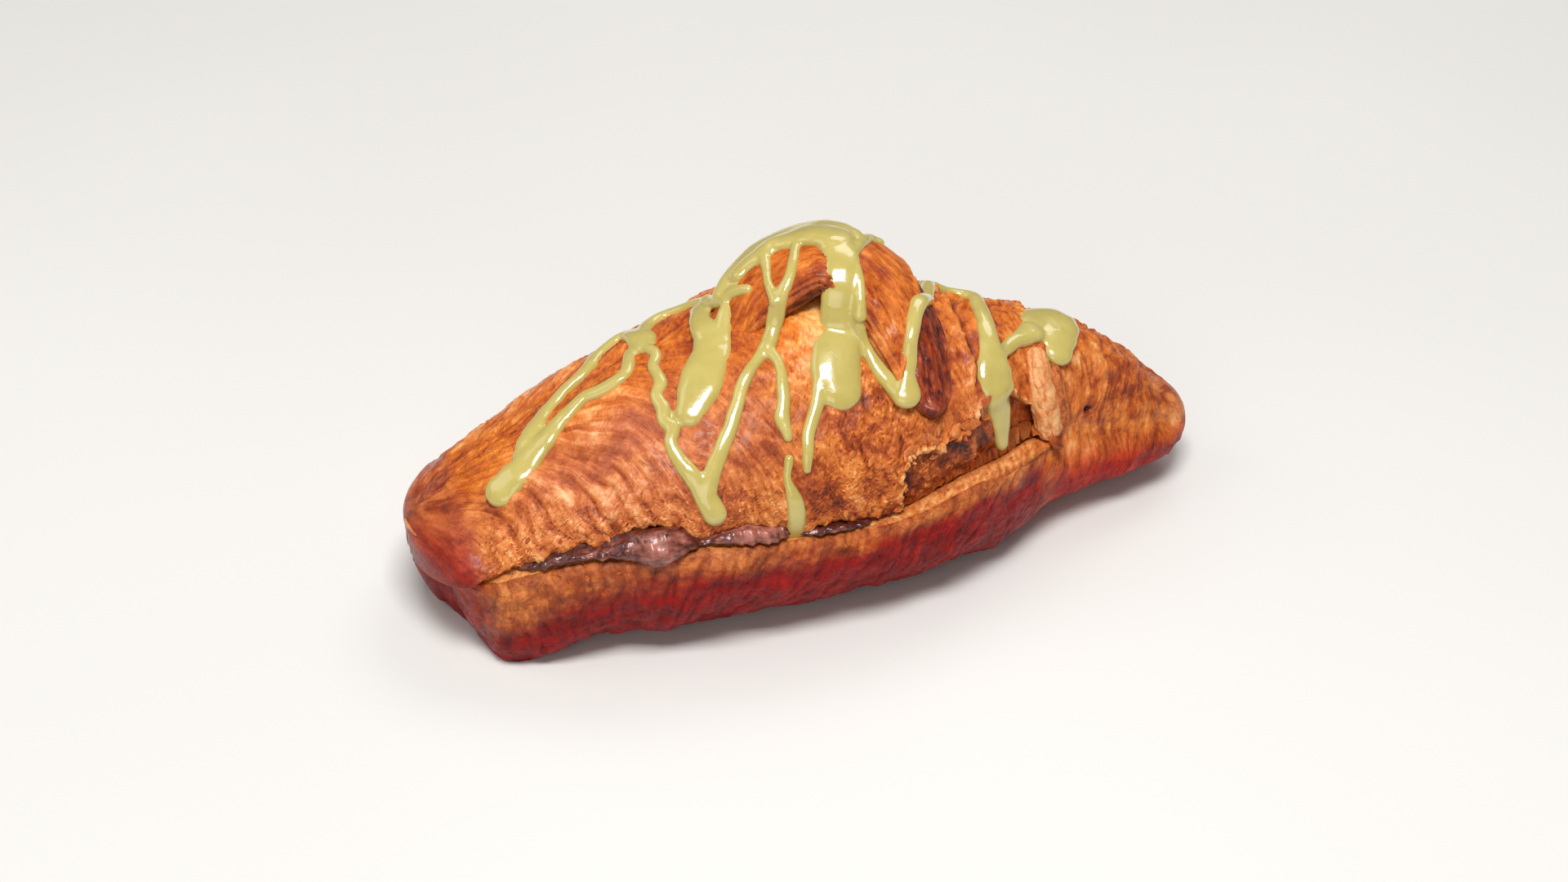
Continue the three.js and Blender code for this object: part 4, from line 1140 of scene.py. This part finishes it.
def crust_material(c):
    n = Nodes("baked_crust")
    bake, grain, speck, relief = crust_texture(n)
    colour = n.shades(bake, (0.0, c.pale), (0.32, c.golden), (0.64, c.brown), (1.0, c.dark))
    orange = n.shades(bake, (0.0, ORANGE_PALE), (0.30, c.orange), (0.62, ORANGE_BROWN),
                      (0.95, ORANGE_DARK))
    rosy = n.shades(bake, (0.0, MAUVE_PALE), (0.40, c.mauve), (0.95, MAUVE_DARK))
    specked = n.total(bake, n.product(n.centred(speck), 0.5))
    open_crumb = n.shades(specked, (0.1, CRUMB_PALE), (0.5, c.crumb), (0.95, CRUMB_DARK))
    base = n.shades(bake, (0.0, BASE_LIGHT), (0.5, c.base), (1.0, BASE_DARK))
    # the base layer's red is partly painted red bounce light; the last layer is painted shade
    layers = (("glow", orange), ("mauve", rosy), ("crumb", open_crumb), ("blush", base),
              ("deep", linear(PAINTED_SHADE_COLOUR)))
    for name, shade in layers:
        colour = n.mix(n.mask(name), colour, shade)
    rough = n.math("SUBTRACT", 0.55, n.product(n.mask("gloss"), 0.30))
    rough = n.math("ADD", rough, n.product(n.centred(grain), 0.35), True)
    coat = n.total(0.08, n.product(n.mask("gloss"), 0.42))
    coat = n.math("MULTIPLY", coat, n.math("SUBTRACT", 1.0, n.mask("blush")), True)
    n.finish({"Base Color": colour, "Roughness": rough, "Specular IOR Level": 0.25,
              "Coat Weight": coat, "Coat Roughness": 0.2})
    coarse = n.add("ShaderNodeBump", Strength=0.85, Distance=0.0007, Height=relief)
    n.add_bump(0.35, 0.00018, speck, coarse.outputs[0])
    return n.material


def icing_material(c):
    n = Nodes("poured_icing")
    cloud = n.grain(160, detail=3.0)
    n.finish({"Base Color": n.shades(cloud, (0.25, c.icing_shade), (0.7, c.icing)),
              "Roughness": n.total(0.14, n.product(cloud, 0.12)),
              "Subsurface Weight": 0.10, "Subsurface Radius": (1.0, 0.8, 0.4),
              "Subsurface Scale": 0.0012, "Coat Weight": 0.8, "Coat Roughness": 0.05})
    n.add_bump(0.10, 0.0003, n.grain(1500, detail=2.0))
    return n.material


def chocolate_material(c):
    n = Nodes("chocolate_spread")
    cloud = n.grain(420, detail=4.0)
    streak = n.grain(700, detail=3.0, stretch=(0.35, 1, 1.6))
    tone = n.total(n.product(cloud, 0.5), n.product(streak, 0.5))
    # lighter where smeared: partly thin smear, partly painted reflection on the tongue
    tone = n.total(tone, n.product(n.mask("smeared"), 0.22))
    colour = n.shades(tone, (0.32, c.chocolate_dark), (0.52, c.chocolate),
                      (0.74, CHOCOLATE_LIGHT))
    n.finish({"Base Color": colour, "Roughness": n.total(0.16, n.product(cloud, 0.3)),
              "Coat Weight": 0.3, "Coat Roughness": 0.1})
    n.add_bump(0.4, 0.0005, tone)
    return n.material


def floor_material(c):
    n = Nodes("pale_floor")
    lighter = [min(v + 6, 255) for v in c.floor]
    colour = n.shades(n.grain(3.0, detail=2.0), (0.3, c.floor), (0.7, lighter))
    n.finish({"Base Color": colour, "Roughness": 0.9})
    return n.material


# ---- what a user may change -----------------------------------------------------------------
def colour_property(name, description, shade):
    """A colour the user may change, given as sRGB of 0 to 255."""
    return FloatVectorProperty(name=name, description=description, size=3, min=0, max=1,
                               default=[v / 255 for v in shade], subtype="COLOR_GAMMA")


class CroissantLooks(bpy.types.PropertyGroup):
    """Colours of the pastry, the chocolate, the icing and the floor"""

    pale: colour_property("Pale", "Least baked edges and ridges", (250, 196, 134))
    golden: colour_property("Golden", "Lightly baked crust", (222, 132, 64))
    brown: colour_property("Brown", "Well baked crust", (160, 70, 20))
    # the darkest crust; creases are drawn toward it as painted shade
    dark: colour_property("Dark", "Creases and the darkest crust", (66, 20, 8))
    orange: colour_property("Orange", "Glossy crust along the crest", (230, 124, 24))
    # rosy brown also paints the highlight streaks on the cap
    mauve: colour_property("Rosy brown", "Thin skin over the front", (202, 106, 68))
    crumb: colour_property("Crumb", "Open crumb at the cut", (212, 124, 60))
    # the base's red is partly baked colour and partly painted red bounce light
    base: colour_property("Base", "Red-brown underside", (156, 12, 6))
    icing: colour_property("Icing", "Poured icing", (200, 183, 104))
    icing_shade: colour_property("Icing shade", "Thinner icing", (186, 168, 88))
    chocolate: colour_property("Chocolate", "Spread in the slit", (86, 32, 23))
    chocolate_dark: colour_property("Dark chocolate", "Deep parts of the spread", (58, 24, 18))
    floor: colour_property("Floor", "What the pastry stands on", (222, 220, 216))


class CroissantSizes(bpy.types.PropertyGroup):
    """Sizes of the pastry's detail."""

    streak: FloatProperty(name="Streak height", description="Relief of the stretched dough",
                          default=0.0005, min=0, max=0.002, unit="LENGTH", subtype="DISTANCE")
    flake: FloatProperty(name="Flake height", description="Step from one flake to the next",
                         default=0.0004, min=0, max=0.002, unit="LENGTH", subtype="DISTANCE")
    icing_voxel: FloatProperty(name="Icing fineness", description="Voxel of the icing's mesh",
                               default=0.00042, min=0.0002, max=0.002, unit="LENGTH",
                               subtype="DISTANCE")


def looks():
    """The user's colours as sRGB of 0 to 255."""
    group = bpy.context.scene.croissant_looks
    return SimpleNamespace(**{key: [255 * v for v in getattr(group, key)]
                              for key in group.__annotations__})


def sizes_mm():
    sizes = bpy.context.scene.croissant_sizes
    return {"streak": sizes.streak / MM, "flake": sizes.flake / MM}


def material(name, make):
    """The material of that name, made once."""
    return bpy.data.materials.get(name) or make(looks())


def dress(thing, finish):
    """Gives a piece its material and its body."""
    thing.data.materials.clear()
    thing.data.materials.append(finish)
    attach(thing, "root")


# ---- operators ------------------------------------------------------------------------------
class CROISSANT_OT_crust(bpy.types.Operator):
    """Builds the crust with the slit in it"""

    bl_idname = "croissant.crust"
    bl_label = "Crust"

    def execute(self, context):
        thing = loft_object("crust", *crust_points(sizes_mm()))
        dress(thing, material("baked_crust", crust_material))
        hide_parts("croissant")
        return {"FINISHED"}


HOOD_PARTS = (("hood", None, 220, 130), ("hood_rear", HOOD_FILL, 90, 60))  # fill, steps, sides


class CROISSANT_OT_hood(bpy.types.Operator):
    """Builds the last turn of the dough, which stands up over the middle"""

    bl_idname = "croissant.hood"
    bl_label = "Hood"

    def execute(self, context):
        for name, fill, steps, sides in HOOD_PARTS:
            thing = loft_object(name, *hood_points(fill, steps, sides, sizes_mm()))
            dress(thing, material("baked_crust", crust_material))
        return {"FINISHED"}


# ---- threads laid on the crust --------------------------------------------------------------
THREAD_STEP, THREAD_SIDES = 0.8, 20  # millimetres between the icing's rings, points round each
RUN_OUT, RUN_OUT_EDGE = 1.1, 0.3  # poured icing is this many times its route's width, plus a rim
DEGREE_COUNTS = 0.6  # millimetres that one degree counts for along a route
END_CAP = (0.28, 0.55, 0.8, 0.94, 1.0)  # rings of a rounded end, as shares of its radius
THREAD_POWER = 2 / 2.4  # of the oval section; less makes it more square
SUNK = 0.06  # share of its width that a thread is sunk into the crust
ICING_SMOOTHING = 3
ROLL_STEP, ROLL_SIDES, ROLL_GIRTH = 0.5, 48, 12
LOOSE_STEP, LOOSE_SIDES = 0.35, 12


def dressed_tree():
    """One search tree over the crust and the hood, in metres of the frame."""
    vertices, faces, count = [], [], 0
    for name in ("crust", "hood", "hood_rear"):
        mesh = bpy.data.objects[name].data
        co = np.zeros(len(mesh.vertices) * 3, np.float32)
        mesh.vertices.foreach_get("co", co)
        vertices.extend(map(tuple, co.reshape(-1, 3).astype(float)))
        faces.extend([tuple(v + count for v in p.vertices) for p in mesh.polygons])
        count += len(mesh.vertices)
    return BVHTree.FromPolygons(vertices, faces)


def reach_at(tree, x, angle):
    """Distance in millimetres from the axis of the outermost crust at x and an angle."""
    far = 120.0
    start, end = (Vector(place(on_crust(np.float64(x), angle, np.float64(r))))
                  for r in (far, 0.0))
    hit = tree.ray_cast(start, (end - start).normalized())
    return far - hit[3] / MM if hit[0] is not None else float(body_radius(x, angle, 1.0))


def bridged(level, window):
    """The level with its dips narrower than the window filled, as thick icing spans them."""
    view = np.lib.stride_tricks.sliding_window_view
    padded = np.pad(level, window - 1, mode="reflect", reflect_type="odd")
    return view(view(padded, window).max(axis=1), window).min(axis=1)


def laid_level(r, broad, step):
    """Distance from the axis of a thread as broad as that: over bumps and across dips of r."""
    level = bridged(r, int(1.4 * broad / step) | 1)
    for span, held in ((2.4, 0.4), (max(2.4, 1.5 * broad), 0.4), (max(1.6, 0.4 * broad), 0.0)):
        window = max(3, int(span / step) | 1)
        padded = np.pad(level, window // 2, mode="edge")
        weights = np.hanning(window + 2)[1:-1]
        level = np.convolve(padded, weights / weights.sum(), "valid")
        level = level + held * np.maximum(0, r - level)
    return level


def route_curve(route, step):
    """X, angle, width and length run of a route, at even steps."""
    flat = np.array([(x, angle * DEGREE_COUNTS, 0) for x, angle, _ in route], float)
    trial = spline(flat, np.linspace(0, 1, 200), True)
    count = max(8, int(np.linalg.norm(np.diff(trial, axis=0), axis=1).sum() / step))
    t = np.linspace(0, 1, count + 1)
    p = spline(flat, t, True)
    order = np.arange(len(route))
    width = along(t * order[-1], order, [w for _, _, w in route]) * RUN_OUT + RUN_OUT_EDGE
    run = np.concatenate([[0], np.cumsum(np.linalg.norm(np.diff(p, axis=0), axis=1))])
    return p[:, 0], p[:, 1] / DEGREE_COUNTS * RAD, width, run


def thread_points(tree, route, step, sides, k, wobble=1.0, thickness=(0.13, 0.85)):
    """Rings of a thread laid along a route on the crust, an oval tube part sunk in it."""
    x, angle, width, run = route_curve(route, step)
    unsteady = 0.5 * wobble * np.clip(3.4 / width, 0.3, 1)
    swelling = 0.15 * noise(run / 3.6, k, seed=80) + 0.08 * noise(run / 1.7, k, seed=81)
    width = width * (1 + unsteady * swelling)
    r = np.array([reach_at(tree, a, b) for a, b in zip(x, angle)])
    centre = on_crust(x, angle, laid_level(r, float(width.mean()), step))
    tangent = unit(np.gradient(centre, axis=0))
    reach = 5.0
    slope = (plain_radius(x + reach, angle) - plain_radius(x - reach, angle)) / (2 * reach)
    out = np.stack([-slope, -np.cos(angle), np.sin(angle)], -1)
    out = unit(out - tangent * np.sum(out * tangent, 1, keepdims=True))
    side = np.cross(tangent, out)
    centre = centre + side * (unsteady * 0.13 * width * noise(run / 4.6, k, seed=82))[:, None]
    half_height = width * thickness[0] + thickness[1]
    turn = 2 * np.pi * (np.arange(sides) + 0.5) / sides
    c, s = np.cos(turn), np.sin(turn)
    c, s = np.sign(c) * np.abs(c) ** THREAD_POWER, np.sign(s) * np.abs(s) ** THREAD_POWER
    last = len(x) - 1
    places = [(0, -f) for f in END_CAP[::-1]] + [(i, 0) for i in range(last + 1)]
    places += [(last, f) for f in END_CAP]
    rings = []
    for i, forward in places:
        scale = math.sqrt(max(0.02, 1 - forward * forward))
        q = centre[i] + tangent[i] * forward * width[i] * 0.5 - out[i] * SUNK * width[i]
        rings.append(q + side[i] * (0.5 * width[i] * scale * c)[:, None]
                     + out[i] * (half_height[i] * scale * s)[:, None])
    return np.array(rings)


def together(meshes):
    """Several meshes of vertices in millimetres, quads and triangles as one, in metres."""
    starts = np.cumsum([0] + [len(v) for v, _, _ in meshes])
    return (place(np.vstack([v for v, _, _ in meshes])),
            np.vstack([q + s for (_, q, _), s in zip(meshes, starts)]),
            np.vstack([t + s for (_, _, t), s in zip(meshes, starts)]))


class CROISSANT_OT_icing(bpy.types.Operator):
    """Pours the icing over the crust in threads, run together where they cross"""

    bl_idname = "croissant.icing"
    bl_label = "Icing"

    def execute(self, context):
        tree = dressed_tree()
        threads = [capped_grid(thread_points(tree, route, THREAD_STEP, THREAD_SIDES, k))
                   for k, route in enumerate(ICING + SHEETS)]
        thing = mesh_object("icing", *together(threads))
        remesh(thing, context.scene.croissant_sizes.icing_voxel, ICING_SMOOTHING)
        dress(thing, material("poured_icing", icing_material))
        return {"FINISHED"}


def remesh(thing, voxel, smoothing):
    """Joins the parts of a piece into one skin of that fineness, and smooths it."""
    joined = thing.modifiers.new("joined", "REMESH")
    joined.mode = "VOXEL"
    joined.voxel_size = voxel
    joined.use_smooth_shade = True
    eased = thing.modifiers.new("eased", "SMOOTH")
    eased.iterations = smoothing
    eased.factor = 0.5
    bpy.context.view_layer.update()
    graph = bpy.context.evaluated_depsgraph_get()
    made = bpy.data.meshes.new_from_object(thing.evaluated_get(graph))
    thing.modifiers.clear()
    old, thing.data = thing.data, made
    bpy.data.meshes.remove(old)
    made.name = thing.name
    made.polygons.foreach_set("use_smooth", np.full(len(made.polygons), True))


def rolled_flake(tree, route, k):
    """A flake of crust rolled up on itself, with its colour masks."""
    points = thread_points(tree, route, ROLL_STEP, ROLL_SIDES, 90 + k, 0.5, (0.26, 0.5))
    u = np.arange(points.shape[0])[:, None] * ROLL_STEP
    v = np.arange(ROLL_SIDES)[None, :] / ROLL_SIDES * ROLL_GIRTH
    rough = fractal(u / 2.2, v / 1.2, 0.0, seed=95 + k)
    ridge = ridges(v / 1.1, u / 9, seed=96 + k)
    centre = points.mean(axis=1, keepdims=True)
    points = points + unit(points - centre) * (0.28 * rough + 0.25 * ridge)[..., None]
    bake = 0.22 + 0.32 * k + 0.25 * (0.6 - ridge) + 0.12 * rough
    masks = crust_masks(bake, glow=0.15, mauve=0.25, crumb=0.25, gloss=0.1, rough=0.8)
    zero = np.zeros_like(bake)
    masks["flow"] = np.stack([v + zero, u + zero, zero + 50 + 20 * k], -1) / 10
    return points, masks


def crust_masks(bake, **even):
    """The crust's colour masks for a piece that is even in all of them but its bake."""
    names = ("glow", "mauve", "blush", "crumb", "deep", "gloss", "rough")
    masks = {"bake": np.clip(bake, 0, 1)}
    masks.update({name: np.full(np.shape(bake), even.get(name, 0.0)) for name in names})
    return masks


class CROISSANT_OT_rolled_flakes(bpy.types.Operator):
    """Adds the rolled flakes that stand up from the crust"""

    bl_idname = "croissant.rolled_flakes"
    bl_label = "Rolled flakes"

    def execute(self, context):
        tree = dressed_tree()
        for k, route in enumerate(ROLLED_FLAKES):
            thing = loft_object(f"rolled_flake_{k + 1}", *rolled_flake(tree, route, k))
            dress(thing, material("baked_crust", crust_material))
        return {"FINISHED"}


def loose_flake(tree, random, x, angle, longest, k):
    """One thin flake that lies at x and an angle in degrees, curled up at one end."""
    length = longest * random.uniform(0.35, 1)
    heading = random.uniform(0, 2 * np.pi)
    across, up = 0.5 * length * np.cos(heading), 0.8 * length * np.sin(heading)
    width = length * random.uniform(0.4, 0.8)
    route = ((x - across, angle - up, 0.4 * width), (x, angle, width),
             (x + across, angle + up, 0.3 * width))
    rings = thread_points(tree, route, LOOSE_STEP, LOOSE_SIDES, k, 1.0, (0.0, 0.22))
    curl = np.linspace(-0.3, 1, len(rings))[:, None, None] ** 2 * random.uniform(0.2, 1.0)
    outward = unit(rings * [0, 1, 1] - np.array([0, axis_y(x), axis_z(x)]))
    return capped_grid(rings + outward * curl)


class CROISSANT_OT_loose_flakes(bpy.types.Operator):
    """Scatters thin loose flakes and crumbs of crust along the slit and the torn edge"""

    bl_idname = "croissant.loose_flakes"
    bl_label = "Loose flakes"

    def execute(self, context):
        tree = dressed_tree()
        random = np.random.default_rng(FLAKE_SEED)
        meshes = []
        for start, end, low, high, count, longest in FLAKE_PLACES:
            for x, share in zip(random.uniform(start, end, count), random.uniform(-1, 1, count)):
                angle = float(along(x, (start, end), (low, high))) + share * FLAKE_SPREAD
                meshes.append(loose_flake(tree, random, x, angle, longest, len(meshes)))
        vertices, quads, triangles = together(meshes)
        tint = np.concatenate([np.full(len(v), random.uniform(0.3, 0.62)) for v, _, _ in meshes])
        masks = crust_masks(tint, glow=0.2, mauve=0.2, crumb=0.1, gloss=0.2, rough=0.5)
        masks["flow"] = np.vstack([v for v, _, _ in meshes]) / 10
        thing = mesh_object("loose_flakes", vertices, quads, triangles, masks)
        dress(thing, material("baked_crust", crust_material))
        return {"FINISHED"}


# Where the chocolate is pressed out past the lip in a tongue, and where it is only smeared.
TONGUE_X, SMEAR_X, PRESSED_SPREAD = -37, -18, 5.5
FILLING_ROWS, FILLING_HALF = 520, 56


def rounding(distance, size):
    """0 at an edge to 1 at size from it, as a quarter circle."""
    return np.sqrt(np.clip(1 - np.clip(1 - distance / size, 0, 1) ** 2, 0, 1))


def filling_points():
    """The spread of chocolate as a grid of points, and where it is smeared or pressed out in a
    tongue, lightened as a thin smear and as painted reflection on the tongue.
    """
    start, end = FILLING_ENDS
    x = np.linspace(start, end, FILLING_ROWS)[:, None]
    past = np.clip(np.maximum((start + 5 - x) / 5, (x - end + 8) / 8), 0, 1)
    tongue = bump(x, TONGUE_X, PRESSED_SPREAD)
    smear = bump(x, SMEAR_X, PRESSED_SPREAD)
    ragged = 0.8 * fractal(x / 4, 0.0, seed=100) + 0.5 * noise(x / 1.5, 0.0, seed=101)
    inset = along(x, SEEN_STATIONS, SEEN_INSET) - ragged * (1 - 0.6 * tongue)
    inset = inset - 2.6 * tongue - 0.6 * smear
    front = front_edge(x) + inset
    rear = along(x, SLIT_STATIONS, HINGE_Y) - 3
    drawn_in = 0.46 * (1 - np.sqrt(1 - past ** 2)) * (rear - front)
    front, rear = front + drawn_in, rear - drawn_in
    s = (0.5 - 0.5 * np.cos(np.pi * np.linspace(0, 1, FILLING_HALF))[None, :]) ** 1.7
    y = front + (rear - front) * s
    depth = y - front

    low, high = slit_faces(x, y)
    lip = along(x, SLIT_STATIONS, SETBACK) - np.maximum(inset, 0)
    within = ramp(depth, lip + 1.0, lip + 5.0)
    seen_gap = np.maximum(gape(x), 0.5) + 0.9 * tongue + 0.5 * smear
    thick = np.minimum(seen_gap, high - low) * (1 - within) + (high - low) * within - 0.3
    droop = 1.9 * tongue * ramp(depth, 4.2, 0.4) + 0.5 * smear * ramp(depth, 2.5, 0)
    middle = low + 0.35 - droop + 0.5 * thick
    edges = rounding(depth, 1.8) * rounding(rear - y, 1.5)
    half_thick = 0.5 * thick * edges + 0.05
    lumps = 0.55 * fractal(x / 3.0, y / 2.4, seed=103, octaves=4) * ramp(depth, 9, 0.5)
    ripple = 0.3 * ridges(x / 4.0, y / 1.1, seed=104) * ramp(depth, 7, 1)
    upper = np.stack([x + 0 * y, y, middle + half_thick + (lumps + ripple) * edges], -1)
    lower = np.stack([x + 0 * y, y, middle - half_thick], -1)
    # the smear is thin and lighter; on the tongue the lightening is painted reflection
    smeared = np.clip(0.8 * tongue + smear, 0, 1) * ramp(depth, 6, 2)
    return (np.concatenate([lower, upper[:, ::-1]], axis=1),
            np.concatenate([smeared, smeared[:, ::-1]], axis=1))


class CROISSANT_OT_filling(bpy.types.Operator):
    """Spreads the chocolate in the slit, with its front edge pressed out here and there"""

    bl_idname = "croissant.filling"
    bl_label = "Filling"

    def execute(self, context):
        points, smeared = filling_points()
        thing = loft_object("chocolate_filling", points, {"smeared": smeared})
        dress(thing, material("chocolate_spread", chocolate_material))
        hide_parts("filling")
        return {"FINISHED"}


# ---- stage ----------------------------------------------------------------------------------
CAMERA = {"azimuth": -17, "elevation": 37, "distance": 600, "lens": 68.6, "sensor": 36,
          "target": (-2.5, -0.25, 22.8), "shift": (-15 / 1920, -4 / 1920), "clip": (0.01, 20)}
LIGHTS = (  # name, azimuth, elevation, distance in metres, size in metres, power in watts
    ("key", -14, 72, 0.95, 0.42, 8.3),
    ("front", -30, 28, 1.2, 0.8, 2.4),
    ("side", -110, 45, 1.1, 0.7, 1.6),
    ("rim", 140, 50, 1.1, 0.6, 2.4),
)
LIT_POINT = (0, 0, 0.025)
LAMP_HEIGHT = 0.7  # of each lamp, as a share of its width
SURROUNDINGS_COLOUR, SURROUNDINGS_STRENGTH = (1.0, 0.98, 0.95, 1), 0.17
FLOOR_HALF = 3.0


def direction(azimuth, elevation):
    a, e = azimuth * RAD, elevation * RAD
    return Vector((math.sin(a) * math.cos(e), -math.cos(a) * math.cos(e), math.sin(e)))


def aim(thing, at):
    thing.rotation_mode = "QUATERNION"
    thing.rotation_quaternion = (at - thing.location).to_track_quat("-Z", "Y")


class CROISSANT_OT_stage(bpy.types.Operator):
    """Sets the floor, the soft lights and the camera"""

    bl_idname = "croissant.stage"
    bl_label = "Stage"

    def execute(self, context):
        scene = context.scene
        corners = [(-FLOOR_HALF, -FLOOR_HALF, 0), (FLOOR_HALF, -FLOOR_HALF, 0),
                   (FLOOR_HALF, FLOOR_HALF, 0), (-FLOOR_HALF, FLOOR_HALF, 0)]
        floor = mesh_object("floor", np.array(corners, float), [[0, 1, 2, 3]], smooth=False)
        floor.data.materials.append(material("pale_floor", floor_material))
        middle = Vector(LIT_POINT)
        for name, azimuth, elevation, distance, width, power in LIGHTS:
            lamp = bpy.data.lights.new(name, "AREA")
            lamp.shape = "RECTANGLE"
            lamp.size, lamp.size_y = width, width * LAMP_HEIGHT
            lamp.energy = power
            thing = bpy.data.objects.new(name, lamp)
            scene.collection.objects.link(thing)
            thing.location = middle + direction(azimuth, elevation) * distance
            aim(thing, middle)
        world = scene.world or bpy.data.worlds.new("surroundings")
        scene.world = world
        world.use_nodes = True
        background = world.node_tree.nodes["Background"]
        background.inputs["Color"].default_value = SURROUNDINGS_COLOUR
        background.inputs["Strength"].default_value = SURROUNDINGS_STRENGTH
        camera = bpy.data.cameras.new("camera")
        camera.lens, camera.sensor_width = CAMERA["lens"], CAMERA["sensor"]
        camera.shift_x, camera.shift_y = CAMERA["shift"]
        camera.clip_start, camera.clip_end = CAMERA["clip"]
        thing = bpy.data.objects.new("camera", camera)
        scene.collection.objects.link(thing)
        target = Vector(CAMERA["target"]) * MM
        toward = direction(CAMERA["azimuth"], CAMERA["elevation"])
        thing.location = target + toward * CAMERA["distance"] * MM
        aim(thing, target)
        scene.camera = thing
        scene.view_settings.view_transform = "Standard"
        return {"FINISHED"}


OPERATORS = (CROISSANT_OT_crust, CROISSANT_OT_hood, CROISSANT_OT_rolled_flakes,
             CROISSANT_OT_loose_flakes, CROISSANT_OT_icing, CROISSANT_OT_filling,
             CROISSANT_OT_stage)


class CROISSANT_PT_panel(bpy.types.Panel):
    """Lists the pieces of the croissant"""

    bl_idname = "CROISSANT_PT_panel"
    bl_label = "Filled croissant"
    bl_space_type = "VIEW_3D"
    bl_region_type = "UI"
    bl_category = "Croissant"

    def draw(self, context):
        column = self.layout.column()
        for operator in OPERATORS:
            column.operator(operator.bl_idname)
        for group in (context.scene.croissant_sizes, context.scene.croissant_looks):
            for key in group.__annotations__:
                column.prop(group, key)


CLASSES = (CroissantLooks, CroissantSizes, *OPERATORS, CROISSANT_PT_panel)


def register():
    for cls in CLASSES:
        bpy.utils.register_class(cls)
    bpy.types.Scene.croissant_looks = PointerProperty(type=CroissantLooks)
    bpy.types.Scene.croissant_sizes = PointerProperty(type=CroissantSizes)


def unregister():
    del bpy.types.Scene.croissant_sizes
    del bpy.types.Scene.croissant_looks
    for cls in reversed(CLASSES):
        bpy.utils.unregister_class(cls)


def main():
    register()
    for thing in list(bpy.data.objects):
        if thing.name in ("Cube", "Light", "Camera"):
            bpy.data.objects.remove(thing)
    for operator in OPERATORS:
        group, name = operator.bl_idname.split(".")
        getattr(getattr(bpy.ops, group), name)()


if __name__ == "__main__":
    main()
